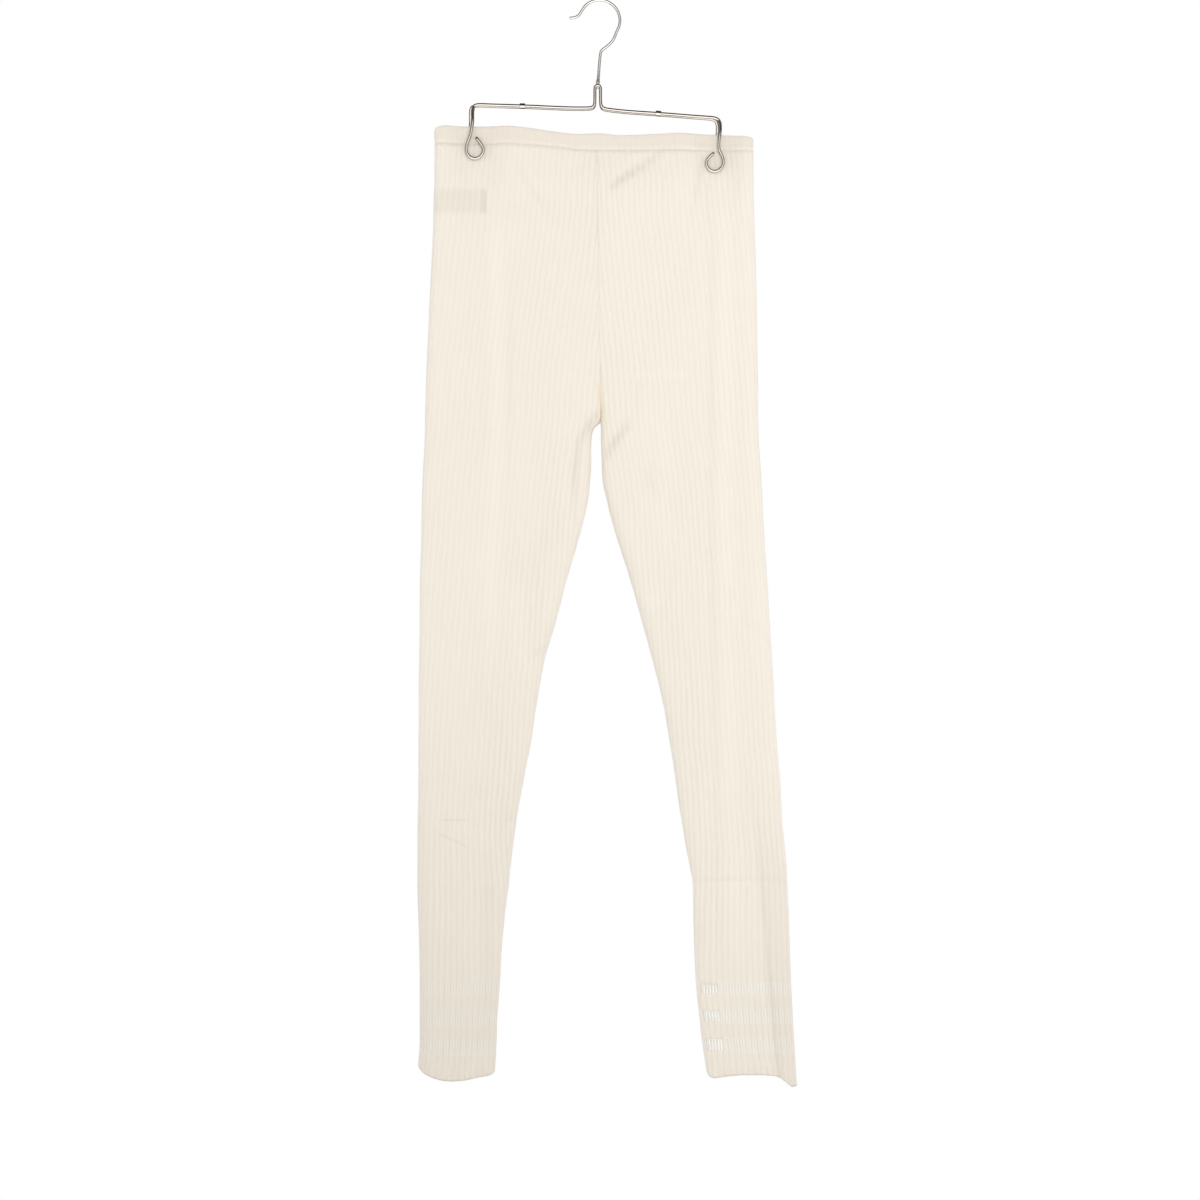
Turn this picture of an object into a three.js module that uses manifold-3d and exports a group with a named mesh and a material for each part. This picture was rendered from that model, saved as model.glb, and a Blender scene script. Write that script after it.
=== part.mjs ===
// Ribbed knit leggings that hang from a chrome wire trouser hanger, in millimetres with +Z up.
// The origin is the inside top of the hanger's hook. The shown side, taken as the front, faces -Y,
// so the wearer's right leg is at -X. The cloth hangs nearly flat, pinched under the two clip loops.
import * as THREE from "three";
import Module from "manifold-3d";
import { mergeVertices } from "three/addons/utils/BufferGeometryUtils.js";

const { lerp, clamp, smoothstep } = THREE.MathUtils;

// Makes objects with named columns out of rows of values.
const table = (columns, rows) =>
  rows.map((row) => Object.fromEntries(columns.map((name, i) => [name, row[i]])));

// Cloth
const WALL = 1.3; // the knit's thickness between ribs
const RIB_HEIGHT = 0.55; // how far a rib stands out of the wall
const SEAM_GAP = 0.3; // between two sewn pieces
const BACK_FULLNESS = 1.12; // the seat and the back of the leg stand out a little further
const INNER_COLUMNS = 10; // faces across the plain inside of a panel
const CURVE_SAMPLES = 72; // samples along one section while ribs are laid out
const LEAN_FROM = 0.4; // ribs lean from here across a panel, where 0 is the side seam
const SHORTEST_RIB = 0.2; // a cut-off rib narrower than this share is left out

// Waistband: a folded casing that stands just proud of the panels
const BAND_WALL = 2.4;
const BAND_PROUD = 0.6;
const BAND_RIB_HEIGHT = 0.25;
const BAND_FOLD = { inward: 1, from: 0.94 }; // the top edge rounds in above this share of its height
const BAND_INNER_COLUMNS = 16;

// Care label, sewn into the right side seam
const LABEL = { length: 50, height: 23, wall: 1, top: -190.5, lean: 5, seamRow: 3 };

// Hanger wire
const FRAME_RADIUS = 1.7;
const HOOK_RADIUS = 1.5;
const HOOK_BEND = 20.5; // from the hook's centre to the middle of its wire
const WIRE_SIDES = 8;
const ARM_Y = 2.1; // each frame wire's distance from the hanger's middle plane
const CLAMP_Y = 5.2; // the same where the loops hold the cloth
const BACK_WIRE_DROP = 0.6; // the back wire sits this much lower
const BACK_WIRE_SHIFT = -2.6; // and its clip ends this far to the side
const RING = { length: 5.5, inner: 2.4, wall: 0.6, straight: 1.8, rightX: -77, leftX: 58.8 };
const WELD = { top: 1.7, foot: 2.6, height: 4, stretch: 1.6, x: -1.7, z: -80.6 };

// The waistband's top edge and its lower stitch line, across the garment
const WAIST = table(
  ["x", "top", "stitch"],
  [
    [-164, -126.1, -142.2],
    [-97.5, -125.3, -142.7],
    [-46.5, -131.2, -146.0],
    [0, -133.4, -149.8],
    [31, -135.0, -149.8],
    [81.5, -132.5, -149.1],
    [153.5, -136.3, -149.5],
  ],
);
const WAIST_LEVEL = -149.8; // the stitch line at the centre seam
const WAIST_FADE = 180; // below the stitch line the rows are level after this much

// One row for each section from the waistband down. Above the crotch both seams are the centre seam,
// below it they are the two inseams. depth is half the garment's thickness, the rounds say how far
// from a seam the cloth turns, and seamDepth is the share of depth that is left at the centre seam.
// pitch is the width of a rib, and lean is how many ribs run out into the centre seam.
const SECTIONS = table(
  [
    "z", "sideRight", "seamRight", "seamLeft", "sideLeft", "depth",
    "roundRight", "roundLeft", "roundSeam", "seamDepth", "pitch", "lean",
  ],
  [
    [-150.1, -164.5, -2.5, -2.5, 153.5, 8.5, 13, 13, 12, 1, 5.6, 0],
    [-162, -164.5, -2.3, -2.3, 153.5, 9, 13, 13, 12, 1, 5.6, 0.1],
    [-180, -164.5, -2.1, -2.1, 153.5, 10, 13, 13, 12, 1, 5.6, 0.3],
    [-205, -165.2, -1.7, -1.7, 154, 11, 13, 13, 12, 1, 5.6, 0.6],
    [-245, -166.5, -1.1, -1.1, 155.5, 12, 14, 14, 12, 1, 5.6, 1.1],
    [-308, -170, -0.1, -0.1, 157, 12.5, 14, 14, 14, 0.95, 5.6, 2],
    [-368, -172.5, 0.8, 0.8, 157.8, 13, 15, 15, 16, 0.75, 5.6, 2.9],
    [-406, -173.5, 1.4, 1.4, 158.4, 13, 15, 15, 18, 0.35, 5.6, 3.3],
    [-420, -174, 1.5, 1.5, 158.6, 13, 15, 15, 18, 0.16, 5.6, 3.4],
    [-436, -174.5, -8.2, 2, 159, 13, 15, 15, 16, 0, 5.6, 3.3],
    [-479, -176.5, -9.5, 3.5, 161.5, 12.5, 15, 15, 14, 0, 5.5, 2.6],
    [-539, -178, -21.5, 18.5, 164.5, 12, 15, 16, 14, 0, 5.4, 1.5],
    [-609, -179.5, -41, 40, 169, 11.5, 15, 18, 14, 0, 5.3, 0.5],
    [-689, -180.5, -61, 61.5, 174, 10.5, 14, 22, 14, 0, 5.2, 0],
    [-779, -180.5, -76.5, 76.5, 180.5, 10, 14, 26, 13, 0, 5.1, 0],
    [-879, -181.5, -90.5, 93.5, 187.5, 9, 14, 26, 13, 0, 5.0, 0],
    [-979, -179.5, -99.5, 96.5, 191.5, 8.5, 13, 21, 13, 0, 5.4, 0],
    [-1039, -179.5, -102.5, 102.5, 194.5, 8.5, 13, 19, 12, 0, 5.8, 0],
    [-1069, -181, -104.5, 107, 197.5, 8.5, 13, 19, 12, 0, 6.0, 0],
  ],
);
const HEM_LEVEL = -1069;
const HEM_FADE = 60; // above the hem its waved edge dies away over this much

// How far each hem drops below its level, from the side seam, 0, to the inseam, 1
const HEMS = {
  right: table(
    ["across", "drop"],
    [
      [0, -5], [0.05, -0.5], [0.2, 6.2], [0.42, 9.5], [0.58, 8.8], [0.78, 5.7], [0.95, 3], [1, -0.5],
    ],
  ),
  left: table(
    ["across", "drop"],
    [
      [0, 14.5], [0.06, 15], [0.12, 11], [0.19, 6], [0.3, 3.8], [0.5, 3.2], [0.75, 4.5], [0.92, 6.4],
      [1, -0.5],
    ],
  ),
};

// The largest folds: a line across one face, with its height out of the cloth (a trough is negative)
// and its half width.
const FOLDS = table(
  ["face", "x1", "z1", "x2", "z2", "height", "width"],
  [
    ["front", 12.5, -188, 60.5, -154, -2, 7],
    ["front", 100.5, -178, 93.5, -210, -1.5, 7],
    ["front", -71.5, -188, -51.5, -215, -1.4, 8],
    ["front", -103, -225, -103, -600, 1.6, 10],
    ["front", -89, -300, -90, -460, -1.4, 7],
    ["front", 123.5, -175, 123.5, -1000, 1.5, 7],
    ["front", 110.5, -200, 110.5, -900, -1.2, 7],
    ["front", 0.5, -414, -16.5, -439, -2, 7],
    ["front", -16.5, -439, -22.5, -500, -2, 7],
    ["front", 28.5, -429, 8.5, -457, -1.6, 7],
    ["back", -98, -178, -62, -216, -2, 8],
    ["back", 92, -190, 55, -226, -1.6, 8],
    ["back", -12, -158, -40, -190, -1.5, 7],
    ["back", -108, -235, -112, -640, 1.5, 10],
    ["back", -70, -300, -78, -520, -1.3, 8],
    ["back", 104, -215, 118, -820, 1.5, 9],
    ["back", -3, -398, -30, -452, -2, 8],
    ["back", 5, -398, 33, -450, -2, 8],
  ],
);

// Where the hanger's loops press front and back together, and the half depth that is left there
const CLIPS = table(
  ["x", "z", "flatX", "flatZ"],
  [
    [-124.5, -143, 12, 18],
    [115, -155, 12, 20],
  ],
);
const CLIP_HALF_DEPTH = 2.3;
const CLIP_REACH = { x: 25, z: 60 };

const COLOURS = { cloth: 0xf1e9dc, label: 0xf4f4f2, chrome: 0xc9cbcd };
const knit = () =>
  new THREE.MeshStandardMaterial({ color: COLOURS.cloth, roughness: 0.9, metalness: 0 });
const chrome = () =>
  new THREE.MeshStandardMaterial({ color: COLOURS.chrome, roughness: 0.15, metalness: 1 });

// The value of one column of a table between its rows, by another column that rises.
function along(rows, by, at, column) {
  const next = rows.findIndex((row) => row[by] >= at);
  if (next < 0) return rows[rows.length - 1][column];
  if (next === 0) return rows[0][column];
  const [a, b] = [rows[next - 1], rows[next]];
  return lerp(a[column], b[column], (at - a[by]) / (b[by] - a[by]));
}

// A quarter of an ellipse: 0 with an upright start at 0, and 1 from 1 on.
const turn = (t) => Math.sqrt(1 - (1 - clamp(t, 0, 1)) ** 2);

// How strongly the clips press at a point, from 0 to 1.
function clipPress(x, z) {
  const press = CLIPS.map((clip) => {
    const beyondX = Math.max(0, Math.abs(x - clip.x) - clip.flatX) / CLIP_REACH.x;
    const beyondZ = Math.max(0, Math.abs(z - clip.z) - clip.flatZ) / CLIP_REACH.z;
    return (1 - smoothstep(beyondX, 0, 1)) * (1 - smoothstep(beyondZ, 0, 1));
  });
  return Math.max(...press);
}

// The sum of the folds of one face at a point.
function foldHeight(face, x, z) {
  const at = new THREE.Vector3(x, 0, z);
  let height = 0;
  for (const fold of FOLDS.filter((row) => row.face === face)) {
    const line = new THREE.Line3(
      new THREE.Vector3(fold.x1, 0, fold.z1),
      new THREE.Vector3(fold.x2, 0, fold.z2),
    );
    const away = line.closestPointToPoint(at, true, new THREE.Vector3()).distanceTo(at);
    height += fold.height * Math.exp(-((away / fold.width) ** 2));
  }
  return height;
}

// The height of a row at one place across it: it follows the stitch line near the waist and the waved
// edge near the hem.
function rowHeight(leg, section, across, x) {
  const waist = along(WAIST, "x", x, "stitch") - WAIST_LEVEL;
  const hem = along(HEMS[leg], "across", across, "drop");
  const waistShare = 1 - clamp((WAIST_LEVEL - section.z) / WAIST_FADE, 0, 1);
  const hemShare = 1 - clamp((section.z - HEM_LEVEL) / HEM_FADE, 0, 1);
  return section.z + waist * waistShare - hem * hemShare;
}

// One point of a section's smooth outer line, from the side seam, 0, to the other seam, 1.
function sectionPoint(leg, face, section, across, gap) {
  const right = leg === "right";
  const side = right ? section.sideRight : section.sideLeft;
  const seam = right ? section.seamRight : section.seamLeft;
  const round = right ? section.roundRight : section.roundLeft;
  const atCentreSeam = section.seamDepth > 0;
  const seamEnd = atCentreSeam ? seam - (Math.sign(seam - side) * gap) / 2 : seam;
  const x = lerp(side, seamEnd, across);
  const z = section.height ?? rowHeight(leg, section, across, x);
  const width = Math.abs(seam - side);
  const fullness = face === "front" ? 1 : BACK_FULLNESS;
  const fromSide = turn((across * width) / round);
  const fromSeam = turn(((1 - across) * width) / section.roundSeam);
  const returned = lerp(fromSeam, 1, section.seamDepth);
  let depth = section.depth * fullness * fromSide * returned;
  depth += foldHeight(face, x, z) * fromSide * fromSeam;
  depth = lerp(depth, Math.min(depth, CLIP_HALF_DEPTH), clipPress(x, z));
  const facing = face === "front" ? -1 : 1;
  return new THREE.Vector3(x, facing * (depth + gap / 2), z);
}

// A section's smooth line, with the outward direction and the distance from the side seam at each
// sample. The samples lie closer together at both ends, where the cloth turns.
function sectionLine(leg, face, section, gap = SEAM_GAP) {
  const samples = Array.from({ length: CURVE_SAMPLES + 1 }, (_, i) => {
    const across = (1 - Math.cos((Math.PI * i) / CURVE_SAMPLES)) / 2;
    return { across, point: sectionPoint(leg, face, section, across, gap), distance: 0 };
  });
  samples.forEach((sample, i) => {
    const before = samples[Math.max(0, i - 1)].point;
    const after = samples[Math.min(CURVE_SAMPLES, i + 1)].point;
    const facing = face === "front" ? -1 : 1;
    const turned = leg === "right" ? facing : -facing;
    sample.outward = new THREE.Vector3(before.y - after.y, after.x - before.x, 0)
      .multiplyScalar(turned)
      .normalize();
    if (i > 0) sample.distance = samples[i - 1].distance + before.distanceTo(sample.point);
  });
  samples[0].outward.set(leg === "right" ? -1 : 1, 0, 0);
  return samples;
}

// The place on a section's line where a rising measure reaches a value.
function placeOn(samples, measure, value) {
  const next = clamp(samples.findIndex((sample) => measure(sample) >= value), 1, CURVE_SAMPLES);
  const [a, b] = [samples[next - 1], samples[next]];
  const share = clamp((value - measure(a)) / (measure(b) - measure(a)), 0, 1);
  return {
    across: lerp(a.across, b.across, share),
    point: a.point.clone().lerp(b.point, share),
    outward: a.outward.clone().lerp(b.outward, share).normalize(),
    part: lerp(a.distance, b.distance, share) / samples[CURVE_SAMPLES].distance,
  };
}

// The outer points of a row: a valley and a peak for each rib, counted from the side seam, so that
// ribs run on from row to row and are cut off at the centre seam and the inseam.
function ribPlaces(samples, section) {
  const leanHere = (sample) => section.lean * smoothstep(sample.across, LEAN_FROM, 1);
  const phase = (sample) => sample.distance / section.pitch + leanHere(sample);
  const last = phase(samples[CURVE_SAMPLES]);
  const places = [];
  for (let half = 0; half / 2 < last - SHORTEST_RIB; half += 1)
    places.push({ ...placeOn(samples, phase, half / 2), peak: half % 2 });
  places.push({ ...placeOn(samples, phase, last), peak: 0 });
  return places;
}

// A growing list of vertices and triangles.
class Shell {
  constructor() {
    this.points = [];
    this.faces = [];
  }

  // Adds a row of places, each moved outwards, and gives back their numbers and parts of the row.
  row(places, offset) {
    return places.map((place) => {
      const moved = place.point.clone().addScaledVector(place.outward, offset(place));
      return this.vertex(moved, place.part);
    });
  }

  vertex(point, part) {
    this.points.push(point);
    return { id: this.points.length - 1, part };
  }

  // Joins two rows by number from their starts. What is left of the longer row fans to the last
  // point of the shorter.
  join(upper, lower) {
    const steps = Math.max(upper.length, lower.length) - 1;
    for (let i = 0; i < steps; i += 1) {
      const low = lower[Math.min(i, lower.length - 1)];
      const high = upper[Math.min(i + 1, upper.length - 1)];
      if (i + 1 < upper.length) this.faces.push([upper[i].id, low.id, high.id]);
      if (i + 1 < lower.length) this.faces.push([high.id, low.id, lower[i + 1].id]);
    }
  }

  // Joins two rows with different points by their place along the row.
  zip(upper, lower) {
    let [i, j] = [0, 0];
    while (i < upper.length - 1 || j < lower.length - 1) {
      const upperNext = i < upper.length - 1 ? upper[i + 1].part : Infinity;
      const lowerNext = j < lower.length - 1 ? lower[j + 1].part : Infinity;
      if (upperNext < lowerNext) {
        this.faces.push([upper[i].id, lower[j].id, upper[i + 1].id]);
        i += 1;
      } else {
        this.faces.push([upper[i].id, lower[j].id, lower[j + 1].id]);
        j += 1;
      }
    }
  }

  // The finished geometry, with its faces turned out.
  geometry() {
    const volume = this.faces.reduce((sum, [a, b, c]) => {
      const [p, q, r] = [this.points[a], this.points[b], this.points[c]];
      return sum + p.dot(q.clone().cross(r));
    }, 0);
    const index = volume > 0 ? this.faces : this.faces.map(([a, b, c]) => [a, c, b]);
    const geometry = new THREE.BufferGeometry().setFromPoints(this.points);
    geometry.setIndex(index.flat());
    geometry.computeVertexNormals();
    return geometry;
  }
}

// One leg panel: ribs on its outer points, a plain inside, and narrow edges at the seams and hem.
function panel(leg, face) {
  const shell = new Shell();
  const rows = SECTIONS.map((section) => {
    const samples = sectionLine(leg, face, section);
    const outer = shell.row(ribPlaces(samples, section), (place) => place.peak * RIB_HEIGHT);
    const inside = Array.from({ length: INNER_COLUMNS + 1 }, (_, i) => {
      const part = (1 - Math.cos((Math.PI * i) / INNER_COLUMNS)) / 2;
      const mixed = lerp(part, i / INNER_COLUMNS, 0.5);
      const length = samples[CURVE_SAMPLES].distance;
      return placeOn(samples, (sample) => sample.distance / length, mixed);
    });
    const seam = inside[INNER_COLUMNS];
    if (section.seamDepth > 0) seam.outward.set(0, face === "front" ? -1 : 1, 0);
    else seam.outward.set(leg === "right" ? 1 : -1, 0, 0);
    return { outer, inner: shell.row(inside, () => -WALL) };
  });
  const last = rows.length - 1;
  for (let i = 0; i < last; i += 1) {
    shell.join(rows[i].outer, rows[i + 1].outer);
    shell.join(rows[i + 1].inner, rows[i].inner);
  }
  shell.zip(rows[0].inner, rows[0].outer);
  shell.zip(rows[last].outer, rows[last].inner);
  shell.join(rows.map((row) => row.outer[0]), rows.map((row) => row.inner[0]));
  shell.join(rows.map((row) => row.inner.at(-1)), rows.map((row) => row.outer.at(-1)));
  return shell.geometry();
}

// The waistband: a closed ring whose ribs run on from the panels, with a rounded top fold.
function waistband() {
  const top = SECTIONS[0];
  const quarters = [
    ["right", "front", false],
    ["left", "front", true],
    ["left", "back", false],
    ["right", "back", true],
  ];
  // Each row of the band has the columns of the panels' top row, all the way round.
  const columns = (count) =>
    quarters.flatMap(([leg, face, backwards]) => {
      const samples = sectionLine(leg, face, top, 0);
      const length = samples[CURVE_SAMPLES].distance;
      const even = Array.from({ length: count + 1 }, (_, i) =>
        placeOn(samples, (sample) => sample.distance / length, i / count),
      );
      const places = (count ? even : ribPlaces(samples, top)).map((place) => ({
        ...place,
        leg,
        face,
      }));
      if (backwards) places.reverse();
      return places.slice(0, -1);
    });
  const ring = (places, level, offset) =>
    places.map((place) => {
      const x = place.point.x;
      const stitch = along(WAIST, "x", x, "stitch") + SEAM_GAP / 2;
      const height = lerp(stitch, along(WAIST, "x", x, "top"), level);
      const point = sectionPoint(place.leg, place.face, { ...top, height }, place.across, 0);
      return point.addScaledVector(place.outward, offset(place));
    });
  const shell = new Shell();
  const closed = (points) => {
    const row = points.map((point, i) => shell.vertex(point, i / points.length));
    return [...row, { id: row[0].id, part: 1 }];
  };
  const ribbed = columns(0);
  const plain = columns(BAND_INNER_COLUMNS);
  const outside = (place) => BAND_PROUD + place.peak * BAND_RIB_HEIGHT;
  const inside = BAND_PROUD - BAND_WALL;
  const rows = [
    closed(ring(ribbed, 0, outside)),
    closed(ring(ribbed, BAND_FOLD.from, outside)),
    closed(ring(plain, 1, () => BAND_PROUD - BAND_FOLD.inward)),
    closed(ring(plain, BAND_FOLD.from, () => inside)),
    closed(ring(plain, 0, () => inside)),
  ];
  shell.join(rows[1], rows[0]);
  shell.zip(rows[2], rows[1]);
  shell.join(rows[3], rows[2]);
  shell.join(rows[4], rows[3]);
  shell.zip(rows[0], rows[4]);
  return shell.geometry();
}

// The care label: a thin strip that leaves the side seam and lies towards the front panel.
function careLabel() {
  const side = SECTIONS[LABEL.seamRow].sideRight + WALL + 2 * SEAM_GAP;
  const edge = (shift) =>
    [0, 0.2, 0.4, 0.7, 1].map(
      (share) =>
        new THREE.Vector2(
          side + LABEL.length * share,
          shift - LABEL.lean * Math.sin((share * Math.PI) / 2),
        ),
    );
  const outline = new THREE.Shape([...edge(-LABEL.wall / 2), ...edge(LABEL.wall / 2).reverse()]);
  const strip = new THREE.ExtrudeGeometry(outline, {
    depth: LABEL.height,
    bevelEnabled: false,
  });
  return strip.translate(0, 0, LABEL.top - LABEL.height);
}

// A smooth curve through points whose steps follow the points, so that tight bends get more of them.
class BentWire extends THREE.CatmullRomCurve3 {
  getPointAt(t, target) {
    return this.getPoint(t, target);
  }

  getTangentAt(t, target) {
    return this.getTangent(t, target);
  }
}

// A round wire along a list of points.
function wire(points, radius, stepsEach) {
  const section = Array.from({ length: WIRE_SIDES }, (_, i) => {
    const angle = (2 * Math.PI * i) / WIRE_SIDES;
    return new THREE.Vector2(radius * Math.cos(angle), radius * Math.sin(angle));
  });
  return new THREE.ExtrudeGeometry(new THREE.Shape(section), {
    extrudePath: new BentWire(points, false, "centripetal"),
    steps: (points.length - 1) * stepsEach,
    bevelEnabled: false,
  });
}

// Half of a frame wire as it shows from the front: from the hairpin's top down its leg, out along the
// arm, down over the waistband and round the clip loop to its free end. spread runs from 0, at the
// arms, to 1, where the wire lies on the cloth, and end marks what moves with the clip.
const ARM_RIGHT = table(
  ["x", "z", "spread", "end"],
  [
    [-3.9, -84.9, 0, 0],
    [-4.6, -88, 0, 0],
    [-4.6, -100.5, 0, 0],
    [-5.6, -105, 0, 0],
    [-9.5, -107, 0, 0],
    [-65, -105.2, 0, 0],
    [-110, -103.9, 0, 1],
    [-121.5, -103.6, 0, 1],
    [-125.2, -104.8, 0.02, 1],
    [-126.4, -108.5, 0.2, 1],
    [-126.6, -116, 0.85, 1],
    [-126.7, -122, 1, 1],
    [-128.7, -134.2, 1, 1],
    [-131.6, -141.3, 1, 1],
    [-133, -148.5, 1, 1],
    [-131.6, -153.8, 1, 1],
    [-127.8, -157.1, 1, 1],
    [-123.5, -157.9, 1, 1],
    [-118.7, -155.7, 1, 1],
    [-115.8, -150.9, 1, 1],
    [-116.4, -146, 1, 1],
    [-123.4, -136.4, 1, 1],
  ],
);
const HAIRPIN_TOP = { x: -1.8, z: -84.6 };
const ARM_LEFT = table(
  ["x", "z", "spread", "end"],
  [
    [0.3, -84.9, 0, 0],
    [1, -88, 0, 0],
    [1, -100.5, 0, 0],
    [2.1, -105.4, 0, 0],
    [6, -108, 0, 0],
    [60, -112.4, 0, 0],
    [102, -115.8, 0, 1],
    [114, -116.7, 0, 1],
    [118.6, -118.4, 0.02, 1],
    [120.4, -122, 0.2, 1],
    [120.7, -128.5, 0.85, 1],
    [120.2, -133, 1, 1],
    [119, -144.2, 1, 1],
    [119.6, -149.6, 1, 1],
    [122.2, -154.4, 1, 1],
    [123.6, -160, 1, 1],
    [123.2, -164.5, 1, 1],
    [120.6, -168.6, 1, 1],
    [115.6, -170.8, 1, 1],
    [110, -169.1, 1, 1],
    [106.8, -164.3, 1, 1],
    [107.2, -159, 1, 1],
    [114.4, -152, 1, 1],
  ],
);

// One frame wire: both halves, joined over the hairpin's top.
function frameWire(face) {
  const facing = face === "front" ? -1 : 1;
  const back = face === "back" ? 1 : 0;
  const place = ({ x, z, spread, end }) =>
    new THREE.Vector3(
      x + back * end * BACK_WIRE_SHIFT,
      facing * lerp(ARM_Y, CLAMP_Y, spread),
      z - back * BACK_WIRE_DROP,
    );
  const crown = { ...HAIRPIN_TOP, spread: 0, end: 0 };
  const points = [...ARM_RIGHT].reverse().concat(crown, ARM_LEFT).map(place);
  return wire(points, FRAME_RADIUS, 2);
}

// A slide ring: a short oval sleeve round both frame wires, square to its arm, whose straight
// stretch starts at the sixth row of the arm's table.
function slideRing(arm, x) {
  const slot = (inset) => {
    const radius = RING.inner + inset;
    const path = new THREE.Path();
    path.absarc(RING.straight, 0, radius, -Math.PI / 2, Math.PI / 2);
    path.absarc(-RING.straight, 0, radius, Math.PI / 2, (3 * Math.PI) / 2);
    return path;
  };
  const outline = new THREE.Shape(slot(RING.wall).getPoints(5));
  outline.holes.push(slot(0));
  const sleeve = new THREE.ExtrudeGeometry(outline, {
    depth: RING.length,
    curveSegments: 5,
    bevelEnabled: false,
  });
  sleeve.translate(0, 0, -RING.length / 2);
  sleeve.applyMatrix4(new THREE.Matrix4().makeBasis(
    new THREE.Vector3(0, 1, 0),
    new THREE.Vector3(0, 0, 1),
    new THREE.Vector3(1, 0, 0),
  ));
  const [near, far] = arm.slice(5, 7);
  const slope = (far.z - near.z) / (far.x - near.x);
  sleeve.rotateY(-Math.atan(slope));
  const z = near.z + slope * (x - near.x) - BACK_WIRE_DROP / 2;
  return sleeve.translate(x, 0, z);
}

const wasm = await Module();
wasm.setup();

// A closed geometry as a solid that can be joined and cut.
function solid(geometry) {
  const bare = geometry.clone();
  bare.deleteAttribute("normal");
  bare.deleteAttribute("uv");
  const merged = mergeVertices(bare, 1e-4);
  return new wasm.Manifold(
    new wasm.Mesh({
      numProp: 3,
      vertProperties: merged.attributes.position.array,
      triVerts: new Uint32Array(merged.index.array),
    }),
  );
}

// A solid as a geometry again.
function geometryOf(body) {
  const mesh = body.getMesh();
  const geometry = new THREE.BufferGeometry();
  geometry.setAttribute("position", new THREE.Float32BufferAttribute(mesh.vertProperties, 3));
  geometry.setIndex([...mesh.triVerts]);
  geometry.computeVertexNormals();
  return geometry;
}

// The hook: a round bend over the origin, a flared tip, a stem and the weld that stands on both wires.
function hook() {
  const centre = { x: 0, z: HOOK_RADIUS - HOOK_BEND };
  const bend = [137, 118, 99, 80, 61, 42, 23, 4, -15, -34].map((degrees) => {
    const angle = THREE.MathUtils.degToRad(degrees);
    return new THREE.Vector3(
      centre.x + HOOK_BEND * Math.cos(angle),
      0,
      centre.z + HOOK_BEND * Math.sin(angle),
    );
  });
  const tip = [[-30, -16.5], [-25.6, -16.3], [-20.7, -14.1]];
  const stem = [[13.6, -38.9], [7, -45.4], [2.4, -48.6], [0.8, -52.5], [-1.2, -79.5]];
  const place = ([x, z]) => new THREE.Vector3(x, 0, z);
  const bent = wire([...tip.map(place), ...bend, ...stem.map(place)], HOOK_RADIUS, 2);
  const weld = new THREE.CylinderGeometry(WELD.top, WELD.foot, WELD.height, 12);
  weld.rotateX(Math.PI / 2).scale(1, WELD.stretch, 1).translate(WELD.x, 0, WELD.z);
  return geometryOf(solid(bent).add(solid(weld)));
}

// Names a mesh and puts it in a group.
function add(group, name, geometry, material) {
  const mesh = new THREE.Mesh(geometry, material);
  mesh.name = name;
  group.add(mesh);
}

const leggings = new THREE.Group();
for (const face of ["front", "back"])
  for (const leg of ["right", "left"]) add(leggings, `${face}_${leg}`, panel(leg, face), knit());
add(leggings, "waistband", waistband(), knit());
add(
  leggings,
  "care_label",
  careLabel(),
  new THREE.MeshStandardMaterial({ color: COLOURS.label, roughness: 0.7, metalness: 0 }),
);

const hanger = new THREE.Group();
add(hanger, "hook", hook(), chrome());
for (const face of ["front", "back"]) add(hanger, `frame_wire_${face}`, frameWire(face), chrome());
add(hanger, "slide_ring_right", slideRing(ARM_RIGHT, RING.rightX), chrome());
add(hanger, "slide_ring_left", slideRing(ARM_LEFT, RING.leftX), chrome());

const part = new THREE.Group();
part.add(leggings, hanger);
export default part;
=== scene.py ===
import logging
import math
from dataclasses import dataclass, field
from enum import Enum

import bmesh
import bpy
import numpy as np
from mathutils import Matrix, Vector


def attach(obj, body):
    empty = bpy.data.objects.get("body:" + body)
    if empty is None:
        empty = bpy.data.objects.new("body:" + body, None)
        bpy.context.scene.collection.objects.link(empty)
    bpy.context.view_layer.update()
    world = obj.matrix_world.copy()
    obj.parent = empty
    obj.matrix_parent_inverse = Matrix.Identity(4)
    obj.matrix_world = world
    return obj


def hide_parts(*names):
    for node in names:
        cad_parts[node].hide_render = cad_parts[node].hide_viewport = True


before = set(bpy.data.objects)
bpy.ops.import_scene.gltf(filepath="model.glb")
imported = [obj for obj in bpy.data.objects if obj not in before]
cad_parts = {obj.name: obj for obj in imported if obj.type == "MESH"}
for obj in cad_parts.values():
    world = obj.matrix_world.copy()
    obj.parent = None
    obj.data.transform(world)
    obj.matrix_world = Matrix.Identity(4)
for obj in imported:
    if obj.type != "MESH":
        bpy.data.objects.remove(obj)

Array = np.ndarray
Mesh = bmesh.types.BMesh
Socket = bpy.types.NodeSocket

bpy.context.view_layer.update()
MM = 0.001
LOG = logging.getLogger("leggings")
SAME_PLACE = 1e-6
KNIT_NUMBERS = ("relief", "wale", "course", "shade", "warmth", "loose", "gap")


class Leg(Enum):
    """The wearer's leg, with the side of the garment it lies on as it is shown."""

    RIGHT = -1
    LEFT = 1


class Face(Enum):
    """The shown front or the hidden back, with the way it faces along Y."""

    FRONT = -1
    BACK = 1


@dataclass(frozen=True)
class Section:
    """One level of the garment, in millimetres.

    Above the crotch both seams are the centre seam, below it they are the two inseams. The rounds say
    how far from a seam the cloth turns, and seam_depth is the share of depth left at the centre seam.
    """

    z: float
    side_right: float
    seam_right: float
    seam_left: float
    side_left: float
    depth: float
    round_right: float
    round_left: float
    round_seam: float
    seam_depth: float


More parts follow.
